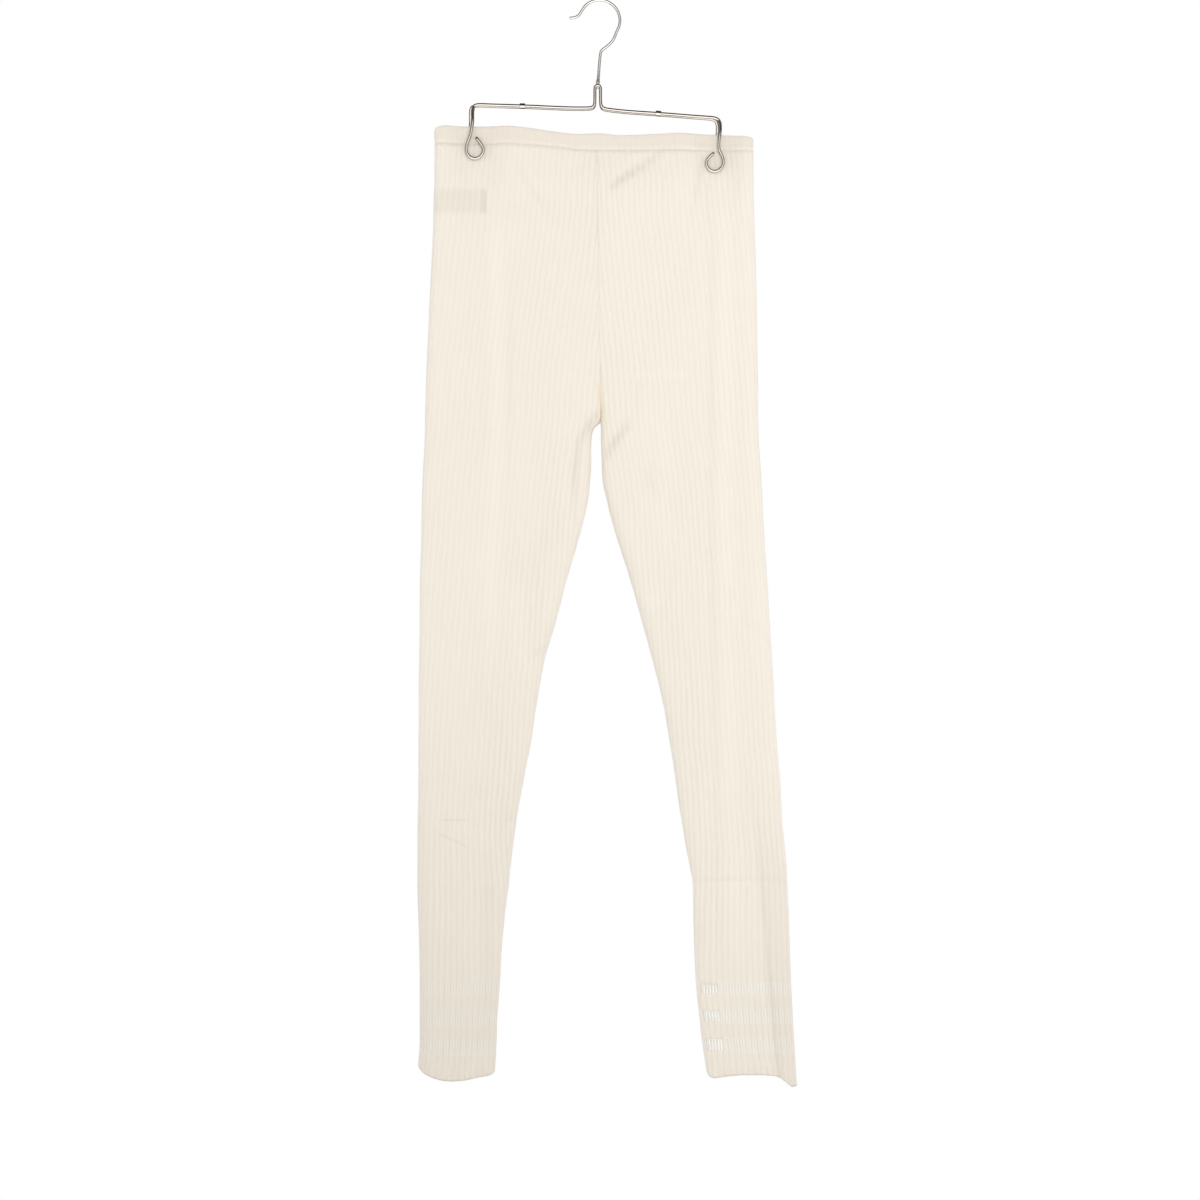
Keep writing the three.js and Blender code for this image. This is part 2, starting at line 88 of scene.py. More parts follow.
SECTIONS = [
    Section(*row)
    for row in (
        (-142, -164.5, -2.6, -2.6, 152.5, 8.5, 13, 13, 12, 1),
        (-150, -164.5, -2.5, -2.5, 153.5, 8.7, 13, 13, 12, 1),
        (-180, -164.6, -2.1, -2.1, 153.6, 10, 13, 13, 12, 1),
        (-205, -165.3, -1.7, -1.7, 154, 11, 13, 13, 12, 1),
        (-245, -166.7, -1.1, -1.1, 155.6, 12, 14, 14, 12, 1),
        (-308, -169.8, -0.1, -0.1, 157, 12.5, 14, 14, 14, 0.95),
        (-368, -172.6, 0.8, 0.8, 157.9, 13, 15, 15, 16, 0.75),
        (-406, -173.7, 1.4, 1.4, 158.4, 13, 15, 15, 18, 0.35),
        (-420, -174.1, 1.5, 1.5, 158.6, 13, 15, 15, 18, 0.16),
        (-424, -174.2, -4.5, 1.6, 158.7, 13, 15, 15, 17, 0.05),
        (-438, -174.5, -8.6, 2, 159, 13, 15, 15, 16, 0),
        (-460, -175.6, -8.6, 2.6, 160.5, 12.8, 15, 15, 15, 0),
        (-479, -176.5, -9.8, 3.6, 161.6, 12.5, 15, 15, 14, 0),
        (-499, -177.1, -11.8, 7.8, 162.7, 12.3, 15, 15, 14, 0),
        (-519, -177.6, -16.4, 12.6, 163.6, 12.2, 15, 16, 14, 0),
        (-539, -178, -21.6, 18.6, 164.6, 12, 15, 16, 14, 0),
        (-579, -179, -33.4, 31.4, 167.4, 11.7, 15, 17, 14, 0),
        (-619, -179.5, -43.6, 42.6, 169.7, 11.5, 15, 18, 14, 0),
        (-659, -179.9, -55.4, 53.5, 172.6, 11, 14, 20, 14, 0),
        (-699, -180.5, -62.6, 63.4, 174.7, 10.5, 14, 23, 14, 0),
        (-739, -180.6, -68.6, 70.4, 176.9, 10.2, 14, 25, 13, 0),
        (-779, -180.6, -76.4, 76.4, 180.5, 10, 14, 26, 13, 0),
        (-819, -181.5, -83.4, 82.4, 182.6, 9.6, 14, 27, 13, 0),
        (-859, -181.6, -88.6, 89.4, 186.4, 9.2, 14, 27, 13, 0),
        (-879, -181.6, -90.6, 93.2, 187.5, 9, 14, 26, 13, 0),
        (-919, -180.7, -95.6, 94.4, 189.2, 8.7, 13, 24, 13, 0),
        (-959, -179.8, -98.6, 95.4, 190.6, 8.5, 13, 22, 13, 0),
        (-979, -179.5, -99.5, 96.4, 191.5, 8.5, 13, 21, 13, 0),
        (-1019, -179.5, -102.4, 100.4, 193.4, 8.5, 13, 20, 12, 0),
        (-1039, -179.5, -103, 102.6, 194.5, 8.5, 13, 19, 12, 0),
        (-1069, -181, -104.6, 107, 197.3, 8.5, 13, 19, 12, 0),
    )
]

LEAN_LEVELS = (-1069, -975, -800, -650, -500, -420, -245, -142)
LEAN_SIDE_AND_SEAM = {
    Leg.RIGHT: ((8, 8, 6.8, 5.2, 3.5, 2.8, 0.95, 0), (8, 8, 7.3, 6.6, 5.9, 5.6, 1.9, 0)),
    Leg.LEFT: ((4, 4, 4, 3.8, 3.4, 2.8, 0.95, 0), (4, 4, 4.6, 5.6, 6.4, 5.6, 1.9, 0)),
}

RIB_LEVELS = (-820, -650, -500, -420, -245, -142)
RIB_WIDTHS = (5.6, 5.85, 5.9, 6.1, 5.8, 5.6)

WAIST_X = (-164.5, -153, -128, -97.5, -71.5, -46.5, -20.5, -0.5, 19.5, 55.5, 81.5, 106.5, 132.5, 153.5)
WAIST_TOP = (-126.4, -124.8, -125.3, -125.3, -127.5, -131.2, -133.8, -133.2, -135, -133.8, -132.5,
             -133.2, -134.5, -136.3)
STITCH_X = (-164.5, -97.5, -46.5, -20.5, 0, 31, 81.5, 153.5)
STITCH_Z = (-142.2, -142.7, -146, -149.1, -149.8, -149.8, -149.1, -149.5)
WAIST_LEVEL = -149.8
WAIST_FADE = 180.0

HEM_LEVEL = -1069.0
HEM_FADE = 28.0
HEM_ACROSS = {
    Leg.RIGHT: ((0, 0.03, 0.08, 0.2, 0.33, 0.42, 0.58, 0.78, 0.9, 0.97, 1),
                (-5, -1.5, 1.8, 6.2, 8.8, 9.5, 8.8, 5.7, 4, 2.4, -0.5)),
    Leg.LEFT: ((0, 0.05, 0.1, 0.14, 0.19, 0.27, 0.4, 0.55, 0.7, 0.85, 0.92, 0.97, 1),
               (14.5, 15.4, 12.6, 9.5, 6, 4, 3.2, 3.2, 3.8, 5.4, 6.4, 4.8, -0.5)),
}


@dataclass(frozen=True)
class Fold:
    """A soft trough or ridge along a path, in millimetres.

    Each point of the path has its place across, its height and how strong the fold is there, from 0 to 1.
    height is out of the cloth, so a trough is negative. tone is painted shade along the fold, and a negative
    tone is painted light along a ridge.
    """

    path: tuple[tuple[float, float, float], ...]
    height: float
    width: float
    tone: float = 0.0

    def strength(self, x: Array, z: Array, width: float) -> Array:
        """Work out how strong the fold is at some points.

        Args:
            x: The points' places across.
            z: Their heights.
            width: How far the fold reaches to each side.

        Returns:
            The strength at each point, from 0 to 1.
        """
        most = np.zeros_like(x)
        for (x1, z1, first), (x2, z2, last) in zip(self.path, self.path[1:]):
            length = (x2 - x1) ** 2 + (z2 - z1) ** 2
            share = np.clip(((x - x1) * (x2 - x1) + (z - z1) * (z2 - z1)) / length, 0, 1)
            away = np.hypot(x - x1 - share * (x2 - x1), z - z1 - share * (z2 - z1))
            most = np.maximum(most, (first + (last - first) * share) * np.exp(-((away / width) ** 2)))
        return most


FRONT_FOLDS = (
    (((12.5, -187, 0.6), (20, -180.5, 1), (30, -174, 1), (38, -169.5, 0.8), (60.5, -154, 0.3)),
     -2.4, 4.5, 0.27),
    (((100.5, -170, 1), (96, -192, 1), (91, -214, 0.3)), -1.7, 4, 0.1),
    (((108, -182, 1), (106, -236, 0.2)), -0.9, 2.5, 0.05),
    (((-80, -172, 0.5), (-66, -192, 1), (-47, -220, 0.3)), -1.4, 5, 0.055),
    (((-38, -152, 1), (-43, -172, 0.2)), -0.9, 3.5, 0.015),
    (((-17, -154, 1), (-19, -182, 0.2)), -0.9, 3, 0.02),
    (((10, -154, 1), (8, -180, 0.2)), -0.8, 3, 0.015),
    (((22, -153, 1), (24, -170, 0.2)), -0.7, 3, 0.015),
    (((-104, -205, 0), (-103.5, -260, 1), (-103, -420, 1), (-108, -600, 0.8), (-112, -700, 0)),
     1.6, 9, -0.045),
    (((-89, -270, 0), (-90, -330, 1), (-91, -430, 1), (-92, -500, 0)), -1.5, 5, 0.025),
    (((123.5, -175, 0.4), (124, -260, 1), (124, -560, 1), (134, -930, 0.7), (137, -985, 0)),
     1.5, 10, -0.045),
    (((111, -195, 0), (110, -260, 1), (110, -560, 1), (117, -900, 0.6), (119, -960, 0)), -1.3, 5, 0.02),
    (((1, -411, 0.7), (-9, -422, 1), (-21, -442, 0.9), (-24.5, -473, 0.8), (-26, -530, 0)), -2.4, 5, 0.19),
    (((28, -425, 0.5), (16, -440, 1), (8, -454, 0.5)), -2.3, 5.5, 0.23),
    (((36.5, -372, 0), (37, -400, 1), (36, -445, 0)), -0.6, 2.5, 0.03),
    (((44, -468, 0.4), (50, -482, 1), (56, -497, 0.3)), -1.6, 8, 0.07),
    (((16, -377, 0), (40, -376, 1), (84, -374, 0.6), (95, -374, 0)), 0.9, 5, -0.03),
    (((-50, -644, 0.4), (-60, -649, 1), (-68, -653, 0.3)), -1.6, 3, 0.1),
    (((-80, -778, 1), (-90, -787, 0.2)), -1.2, 4, 0.04),
    (((-90, -818, 1), (-102, -827, 0.2)), -1.2, 4, 0.04),
    (((150, -620, 0.3), (160, -632, 1), (171, -646, 0.4)), -1.3, 4, 0.03),
    (((94, -879, 1), (125, -878, 0.9), (150, -877, 0.7), (190, -880, 0.8)), -1.1, 2.5, 0.045),
    (((150, -770, 0), (157, -840, 0.35), (162, -900, 0.6), (169, -985, 1), (178, -1072, 1)), -1.8, 5, 0.07),
    (((-140, -270, 0), (-141, -330, 1), (-143, -620, 1), (-144, -720, 0)), 0.8, 9),
    (((62, -410, 0), (64, -470, 1), (66, -570, 0)), 0.8, 10, -0.02),
    (((-2, -152, 1), (-1.6, -200, 0.8), (-1, -260, 0)), -0.3, 3, 0.03),
    (((-42, -495, 0), (-56, -545, 1), (-74, -605, 0)), -0.8, 12, 0.05),
    (((-85, -590, 0.6), (-80, -640, 1), (-72, -690, 0.2)), 1.0, 11, -0.03),
    (((44, -597, 0.3), (54, -602, 1), (64, -607, 0.3)), 1.0, 9, -0.03),
    (((-110, -850, 0), (-110.5, -900, 1), (-111, -1000, 0.6), (-111, -1050, 0)), -0.9, 8, 0.05),
    (((-160, -773, 0.3), (-146, -777, 1), (-130, -781, 0.2)), -0.5, 6, 0.022),
    (((-140, -786, 0.2), (-120, -790, 1), (-98, -793, 0.2)), -0.6, 6, 0.026),
    (((-134, -822, 0.2), (-118, -825, 1), (-100, -831, 0.3)), -0.5, 5, 0.02),
    (((-156, -866, 0.3), (-136, -869, 1), (-112, -867, 0.2)), -0.5, 7, 0.022),
    (((-128, -886, 0.2), (-114, -890, 1), (-98, -897, 0.3)), -0.5, 7, 0.022),
)
BACK_FOLDS = (
    (((-100, -176, 0.5), (-78, -196, 1), (-58, -226, 0.4)), -1.9, 6, 0.04),
    (((94, -188, 1), (72, -209, 0.8), (53, -228, 0.2)), -1.6, 6, 0.03),
    (((-14, -156, 1), (-30, -174, 0.7), (-44, -192, 0.1)), -1.4, 5, 0.03),
    (((20, -154, 1), (22, -178, 0.2)), -0.8, 3, 0.015),
    (((-108, -215, 0), (-109, -280, 1), (-112, -560, 0.8), (-114, -680, 0)), 1.5, 9, -0.02),
    (((-70, -280, 0), (-73, -360, 1), (-78, -540, 0)), -1.3, 6, 0.02),
    (((104, -200, 0), (106, -280, 1), (118, -820, 0.6), (120, -900, 0)), 1.5, 8, -0.02),
    (((-3, -400, 0.8), (-30, -452, 1), (-34, -500, 0.5), (-35, -540, 0)), -2.2, 6, 0.06),
    (((5, -400, 0.8), (20, -425, 1), (35, -455, 0.2)), -2, 6, 0.06),
    (((-56, -639, 0.4), (-70, -650, 1), (-86, -662, 0.2)), -1.2, 5, 0.03),
    (((-174, -651, 0.8), (-158, -658, 1), (-144, -665, 0.2)), -1.1, 4, 0.03),
    (((68, -667, 0.3), (82, -678, 1), (98, -692, 0.3)), -1.2, 5, 0.03),
    (((-96, -868, 0.8), (-120, -870, 1), (-152, -875, 0.2)), -0.9, 4, 0.02),
    (((98, -900, 0.8), (120, -897, 1), (152, -894, 0.2)), -0.9, 4, 0.02),
)
FOLDS = {
    Face.FRONT: [Fold(*row) for row in FRONT_FOLDS],
    Face.BACK: [Fold(*row) for row in BACK_FOLDS],
}


@dataclass(frozen=True)
class Clip:
    """Where a wire loop presses front and back together, in millimetres."""

    x: float
    z: float
    flat_x: float
    flat_z: float


CLIPS = (Clip(-124.5, -143, 12, 18), Clip(115, -155, 12, 20))
CLIP_HALF_DEPTH = 2.3
CLIP_REACH_X = 25.0
CLIP_REACH_Z = 60.0
BACK_FULLNESS = 1.12


def smooth(value: Array, low: float, high: float) -> Array:
    """Give an S-shaped step.

    Args:
        value: What is stepped.
        low: Where the step starts.
        high: Where it ends.

    Returns:
        0 below low, 1 above high, and a soft rise between.
    """
    share = np.clip((value - low) / (high - low), 0, 1)
    return share * share * (3 - 2 * share)


def soft_curve(at: Array, places: tuple[float, ...], values: tuple[float, ...]) -> Array:
    """Interpolate a short table without corners.

    Args:
        at: Where the values are wanted.
        places: The table's rising places.
        values: The table's values there.

    Returns:
        Values on a smooth curve through the table that never overshoots it.
    """
    x, y = np.asarray(places, float), np.asarray(values, float)
    step = np.diff(x)
    slope = np.diff(y) / step
    tangent = np.zeros_like(y)
    same = slope[:-1] * slope[1:] > 0
    both = np.where(same, slope[:-1] + slope[1:], 1)
    tangent[1:-1] = np.where(same, 2 * slope[:-1] * slope[1:] / both, 0)
    tangent[0], tangent[-1] = slope[0], slope[-1]
    i = np.clip(np.searchsorted(x, at, side="right") - 1, 0, len(step) - 1)
    t = np.clip((at - x[i]) / step[i], 0, 1)
    rise = y[i] * (1 + 2 * t) * (1 - t) ** 2 + y[i + 1] * t * t * (3 - 2 * t)
    return rise + step[i] * (tangent[i] * t * (1 - t) ** 2 - tangent[i + 1] * t * t * (1 - t))


def quarter(t: Array) -> Array:
    """Rise from 0 to 1 as a quarter of an ellipse does, with an upright start."""
    return np.sqrt(1 - (1 - np.clip(t, 0, 1)) ** 2)


def by_leg(right: object, left: object) -> dict:
    """Make a dataclass field that holds one value for each leg."""
    return field(default_factory=lambda: {Leg.RIGHT: right, Leg.LEFT: left})


@dataclass(frozen=True)
class Rows:
    """A panel's smooth middle surface on a grid of rows and columns, in millimetres."""

    point: Array
    outward: Array
    wale: Array
    across: Array


@dataclass(frozen=True)
class Garment:
    """The garment's form: where the cloth lies at each level, before ribs are raised on it."""

    samples: int = 120
    seam_half_gap: float = 0.04
    ribs_at_hem: dict = by_leg(15, 17)
    hem_zone: float = -975.0
    hem_blend: float = 150.0

    def column(self, name: str, z: Array) -> Array:
        """Give one column of the table of sections at some levels, on a smooth curve."""
        rows = SECTIONS[::-1]
        return soft_curve(z, tuple(row.z for row in rows), tuple(getattr(row, name) for row in rows))

    def press(self, x: Array, z: Array) -> Array:
        """Say how strongly the hanger's clips press the cloth.

        Args:
            x: The points' places across.
            z: Their heights.

        Returns:
            The strength at each point, from 0 to 1.
        """
        most = np.zeros_like(x)
        for clip in CLIPS:
            beyond_x = np.maximum(0, np.abs(x - clip.x) - clip.flat_x) / CLIP_REACH_X
            beyond_z = np.maximum(0, np.abs(z - clip.z) - clip.flat_z) / CLIP_REACH_Z
            most = np.maximum(most, (1 - smooth(beyond_x, 0, 1)) * (1 - smooth(beyond_z, 0, 1)))
        return most

    def row_height(self, leg: Leg, z: Array, across: Array, x: Array) -> Array:
        """Follow the stitch line near the waist and the waved edge near the hem.

        Args:
            leg: The leg the rows are on.
            z: Each row's level.
            across: The share of the way from the side seam.
            x: The place across the garment.

        Returns:
            The height of each point.
        """
        waist = soft_curve(x, STITCH_X, STITCH_Z) - WAIST_LEVEL
        hem = soft_curve(across, *HEM_ACROSS[leg])
        waist_share = 1 - np.clip((WAIST_LEVEL - z) / WAIST_FADE, 0, 1)
        hem_share = smooth(1 - (z - HEM_LEVEL) / HEM_FADE, 0, 1)
        return z + waist * waist_share - hem * hem_share

    def surface(
        self, leg: Leg, face: Face, level: Array, across: Array, height: Array | None = None
    ) -> Array:
        """Place points of the cloth's smooth form.

        Args:
            leg: The leg.
            face: Front or back.
            level: The level of the section, for each point.
            across: The share of the way from the side seam to the other seam.
            height: The points' heights, where they don't follow the rows.

        Returns:
            An array of points, in millimetres.
        """
        name = leg.name.lower()
        side, seam = self.column(f"side_{name}", level), self.column(f"seam_{name}", level)
        seam_depth = self.column("seam_depth", level)
        width = np.abs(seam - side)
        x = side + (seam - side) * across
        z = self.row_height(leg, level, across, x) if height is None else height
        from_side = quarter(across * width / self.column(f"round_{name}", level))
        from_seam = quarter((1 - across) * width / self.column("round_seam", level))
        fullness = 1 if face is Face.FRONT else BACK_FULLNESS
        depth = self.column("depth", level) * fullness * from_side
        depth = depth * (from_seam + (1 - from_seam) * seam_depth)
        for fold in FOLDS[face]:
            depth = depth + fold.height * fold.strength(x, z, fold.width) * from_side * from_seam
        press = self.press(x, z)
        depth = depth + (np.minimum(depth, CLIP_HALF_DEPTH) - depth) * press
        return np.stack([x, face.value * (np.maximum(depth, 0) + self.seam_half_gap), z], axis=-1)

    def rows(self, leg: Leg, face: Face, levels: Array, columns: int) -> Rows:
        """Lay out a panel on a grid whose columns are evenly spaced along the cloth.

        Args:
            leg: The leg.
            face: Front or back.
            levels: The level of each row.
            columns: How many faces lie across.

        Returns:
            The panel's middle surface, with the number of ribs from the side seam at each point.
        """
        share = (1 - np.cos(np.linspace(0, math.pi, self.samples + 1))) / 2
        grid = np.broadcast_to(share, (len(levels), len(share)))
        level = np.broadcast_to(levels[:, None], grid.shape)
        line = self.surface(leg, face, level, grid)
        steps = np.linalg.norm(np.diff(line, axis=1), axis=2)
        far = np.concatenate([np.zeros((len(levels), 1)), np.cumsum(steps, axis=1)], axis=1)
        even = np.linspace(0, 1, columns + 1)
        across = np.stack([np.interp(even * row[-1], row, share) for row in far])
        length = far[:, -1:]
        point = self.surface(leg, face, np.broadcast_to(levels[:, None], across.shape), across)
        before, after = np.roll(point, 1, axis=1), np.roll(point, -1, axis=1)
        before[:, 0], after[:, -1] = point[:, 0], point[:, -1]
        along = after - before
        turned = face.value if leg is Leg.RIGHT else -face.value
        outward = np.stack([-along[..., 1], along[..., 0], 0 * along[..., 0]], axis=-1) * turned
        outward[:, 0] = (leg.value, 0, 0)
        outward /= np.linalg.norm(outward, axis=2, keepdims=True)
        wale = even[None, :] * length / self.pitch(leg, levels, length) + self.lean(leg, levels, across)
        wale = wale + self.wobble(point[..., 0], point[..., 2])
        return Rows(point, outward, wale, across)

    def wobble(self, x: Array, z: Array) -> Array:
        """Let the ribs wander a little, as they do in worn knit, but not across the drop-stitch rows."""
        waves = ((0.05, 19, 15), (0.045, 41, -23), (0.03, 8.5, 6))
        return sum(far * np.sin(z / down + x / over) for far, down, over in waves) * smooth(z, -975, -930)

    def lean(self, leg: Leg, levels: Array, across: Array) -> Array:
        """Count the ribs that have run in from the side seam on the way down to each point."""
        side, seam = (soft_curve(levels, LEAN_LEVELS, ribs)[:, None] for ribs in LEAN_SIDE_AND_SEAM[leg])
        return side + (seam - side) * across

    def pitch(self, leg: Leg, levels: Array, length: Array) -> Array:
        """Give the width of a rib at each level, so that a whole number fits across the hem.

        Args:
            leg: The leg.
            levels: The levels.
            length: How long the cloth is across, at each level.

        Returns:
            The widths, in a column.
        """
        free = np.interp(levels, RIB_LEVELS, RIB_WIDTHS)
        at_hem = length[:, 0] / self.ribs_at_hem[leg]
        near = smooth(levels, self.hem_zone, self.hem_zone + self.hem_blend)
        return (free * near + at_hem * (1 - near))[:, None]


def new_object(name: str, mesh_data: Mesh, finish: bpy.types.Material) -> bpy.types.Object:
    """Turn a bmesh into a shaded object.

    Args:
        name: The piece's name.
        mesh_data: Its bmesh, which is freed.
        finish: Its material.

    Returns:
        The new object, linked into the scene.
    """
    data = bpy.data.meshes.new(name)
    mesh_data.to_mesh(data)
    mesh_data.free()
    data.materials.append(finish)
    data.shade_smooth()
    made = bpy.data.objects.new(name, data)
    bpy.context.scene.collection.objects.link(made)
    return made


def finish_piece(piece: bpy.types.Object, slot: str, *nodes: str) -> None:
    """Let a piece ride on the garment's one body in place of its plain solids.

    Args:
        piece: The dressed piece.
        slot: Its material slot; not used.
        nodes: The plain solids it stands for, if there are any.
    """
    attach(piece, "root")
    if nodes:
        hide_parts(*nodes)
    LOG.info("%s stands for %s", piece.name, ", ".join(nodes) or "detail")


def merged_copy(node: str) -> Mesh:
    """Copy a plain solid so that its faces share their corners.

    Args:
        node: The solid's name.

    Returns:
        The copy as a bmesh.
    """
    work = bmesh.new()
    work.from_mesh(bpy.data.objects[node].data)
    bmesh.ops.remove_doubles(work, verts=work.verts, dist=SAME_PLACE)
    return work


def cloth_grid(points: Array, numbers: dict[str, object]) -> Mesh:
    """Lay a grid of faces through points and let it carry the numbers that the knit's shader reads.

    Args:
        points: Rows and columns of points, in millimetres.
        numbers: Each attribute's name and its value at every point. The others stay 0.

    Returns:
        The grid as a bmesh.
    """
    rows, columns, _ = points.shape
    work = bmesh.new()
    bmesh.ops.create_grid(work, x_segments=columns - 1, y_segments=rows - 1, size=1)
    layers = {name: work.verts.layers.float.new(name) for name in KNIT_NUMBERS}
    work.verts.ensure_lookup_table()
    for vert, place in zip(work.verts, points.reshape(-1, 3) * MM):
        vert.co = place
    for name, values in numbers.items():
        for vert, value in zip(work.verts, np.broadcast_to(values, (rows, columns)).ravel().tolist()):
            vert[layers[name]] = value
    return work


class Nodes:
    """A small helper that fills the node tree of a material or of the world."""

    def __init__(self, owner: bpy.types.ID, output: str = "ShaderNodeOutputMaterial") -> None:
        """Start with an empty tree and an output.

        Args:
            owner: The material or the world.
            output: The kind of its output node.
        """
        owner.use_nodes = True
        self.owner = owner
        self.tree = owner.node_tree
        self.tree.nodes.clear()
        self.output = self.add(output)

    def feed(self, socket: Socket, value: object) -> None:
        """Fill an input socket.

        Args:
            socket: The input socket.
            value: A number or a tuple to set, or an output socket to link.
        """
        if isinstance(value, (int, float, tuple)):
            socket.default_value = value
        else:
            self.tree.links.new(value, socket)

    def add(self, kind: str, inputs: dict | None = None, **properties: object) -> bpy.types.Node:
        """Add a node.

        Args:
            kind: The node's type.
            inputs: What its input sockets get, by name or by number.
            properties: Its own settings.

        Returns:
            The node.
        """
        node = self.tree.nodes.new(kind)
        for name, value in properties.items():
            setattr(node, name, value)
        for key, value in (inputs or {}).items():
            self.feed(node.inputs[key], value)
        return node

    def math(self, operation: str, first: object, second: object = 0.0) -> Socket:
        """Work out a number from one or two numbers or sockets."""
        return self.add("ShaderNodeMath", {0: first, 1: second}, operation=operation).outputs[0]

    def mix(self, share: object, first: object, second: object) -> Socket:
        """Mix two colours, each a socket or a tuple, by a share."""
        return self.add("ShaderNodeMix", {0: share, 6: first, 7: second}, data_type="RGBA").outputs[2]

    def rise(self, value: object, low: float, high: float, kind: str = "SMOOTHSTEP") -> Socket:
        """Rise from 0 where a value is low to 1 where it is high."""
        inputs = {"Value": value, "From Min": low, "From Max": high}
        return self.add("ShaderNodeMapRange", inputs, interpolation_type=kind).outputs["Result"]

    def noise(self, scale: float, detail: float = 2.0) -> Socket:
        """Give a noise that stays with the object."""
        place = self.add("ShaderNodeTexCoord").outputs["Object"]
        return self.add("ShaderNodeTexNoise", {"Scale": scale, "Detail": detail, "Vector": place}).outputs[0]

    def bump(self, height: object, strength: float, distance: float, **under: object) -> Socket:
        """Bump the surface by a height, over another bump if one is given as Normal."""
        inputs = {"Strength": strength, "Distance": distance, "Height": height, **under}
        return self.add("ShaderNodeBump", inputs).outputs[0]

    def attribute(self, name: str) -> Socket:
        """Read a number that the mesh carries."""
        return self.add("ShaderNodeAttribute", attribute_name=name).outputs["Fac"]

    def surface(self, inputs: dict[str, object]) -> bpy.types.Material:
        """Feed the material's one shader, and give back the finished material."""
        self.feed(self.output.inputs[0], self.add("ShaderNodeBsdfPrincipled", inputs).outputs[0])
        return self.owner


@dataclass(frozen=True)
class KnitFinish:
    """Cream wide-rib cotton knit: soft ribs, painted shade in the warmer valleys, and a fine stitch."""

    name: str = "rib_knit"
    # rib is the knit's colour on the ribs; valley is painted shade in the rib valleys, a little warmer.
    rib: tuple = (0.937, 0.868, 0.764, 1)
    valley: tuple = (0.893, 0.822, 0.712, 1)
    # loose is painted light on the drop-stitch rows' loose threads, and gap is painted shade in the gaps
    # between them.
    loose: tuple = (0.98, 0.94, 0.87, 1)
    gap: tuple = (0.85, 0.785, 0.68, 1)
    warm: tuple = (0.93, 0.79, 0.52, 1)
    shade: tuple = (0.42, 0.39, 0.36, 1)
    roughness: float = 0.9
    sheen: float = 0.35
    specular: float = 0.2
    see_through: float = 0.3
    see_through_colors: tuple = (1.0, 0.92, 0.84)
    see_through_depth: float = 0.002
    rib_roundness: float = 0.8
    mottle_scale: float = 22.0
    mottle_detail: float = 3.0
    mottle: float = 0.5
    wales_in_rib: int = 4
    stitch_slant: float = 2.4
    stitch_bump: tuple[float, float] = (0.22, 0.0003)
    rib_bump: tuple[float, float] = (0.22, 0.0005)

    def stitch(self, n: Nodes, wale: Socket) -> Socket:
        """Work out the height of the fine stitch between the ribs.

        Args:
            n: The material's nodes.
            wale: The number of ribs from the side seam.

        Returns:
            The height, from -1 to 1.
        """
        across = n.math("MULTIPLY", wale, 2 * math.pi * self.wales_in_rib)
        down = n.math("MULTIPLY", n.attribute("course"), 2 * math.pi)
        legs = n.math("ABSOLUTE", n.math("SINE", n.math("MULTIPLY", across, 0.5)))
        rows = n.math("SINE", n.math("ADD", down, n.math("MULTIPLY", legs, self.stitch_slant)))
        halves = (n.math("MULTIPLY", wave, 0.5) for wave in (rows, n.math("COSINE", across)))
        return n.math("ADD", *halves)

    def material(self) -> bpy.types.Material:
        """Build the shader, which reads the numbers that the cloth carries.

        Returns:
            The material.
        """
        n = Nodes(bpy.data.materials.new(self.name))
        wale = n.attribute("wale")
        on_rib = n.math("ABSOLUTE", n.math("SINE", n.math("MULTIPLY", wale, math.pi)))
        low = n.math("MULTIPLY", n.math("SUBTRACT", 1.0, on_rib), n.attribute("relief"))
        height = n.math("SUBTRACT", 1.0, low)
        noise = n.math("SUBTRACT", n.noise(self.mottle_scale, self.mottle_detail), 0.5)
        rounded = n.math("POWER", height, self.rib_roundness)
        uneven = n.math("ADD", rounded, n.math("MULTIPLY", noise, self.mottle))
        # Painted shade: the colour darkens from the rib tops into the valleys, with a faint random mottle.
        cloth = n.mix(n.add("ShaderNodeClamp", {0: uneven}).outputs[0], self.valley, self.rib)
        # Painted light on the drop-stitch threads, with painted shade in the gaps between them.
        threads = n.mix(n.attribute("gap"), self.loose, self.gap)
        for name, color in (("loose", threads), ("warmth", self.warm), ("shade", self.shade)):
            cloth = n.mix(n.attribute(name), cloth, color)
        ribs = n.bump(height, *self.rib_bump)
        return n.surface({
            "Base Color": cloth,
            "Roughness": self.roughness,
            "Sheen Weight": self.sheen,
            "Specular IOR Level": self.specular,
            "Subsurface Weight": self.see_through,
            "Subsurface Radius": self.see_through_colors,
            "Subsurface Scale": self.see_through_depth,
            "Normal": n.bump(self.stitch(n, wale), *self.stitch_bump, Normal=ribs),
        })


@dataclass(frozen=True)
class MottledFinish:
    """Any other finish, plain but for a faint mottle: wire, label tape, sewing thread or the floor."""

    name: str
    color: tuple
    roughness: float = 0.8
    scale: float = 300.0
    depth: float = 0.06
    metallic: float = 0.0
    scratches: float = 0.0

    def material(self) -> bpy.types.Material:
        """Build the shader.

        Returns:
            The material.
        """
        n = Nodes(bpy.data.materials.new(self.name))
        noise = n.noise(self.scale)
        darker = tuple((1 - self.depth) * value for value in self.color[:3]) + (1,)
        uneven = n.math("ADD", n.math("MULTIPLY", noise, self.scratches), self.roughness)
        return n.surface({
            "Base Color": n.mix(noise, self.color, darker),
            "Metallic": self.metallic,
            "Roughness": uneven if self.scratches else self.roughness,
        })


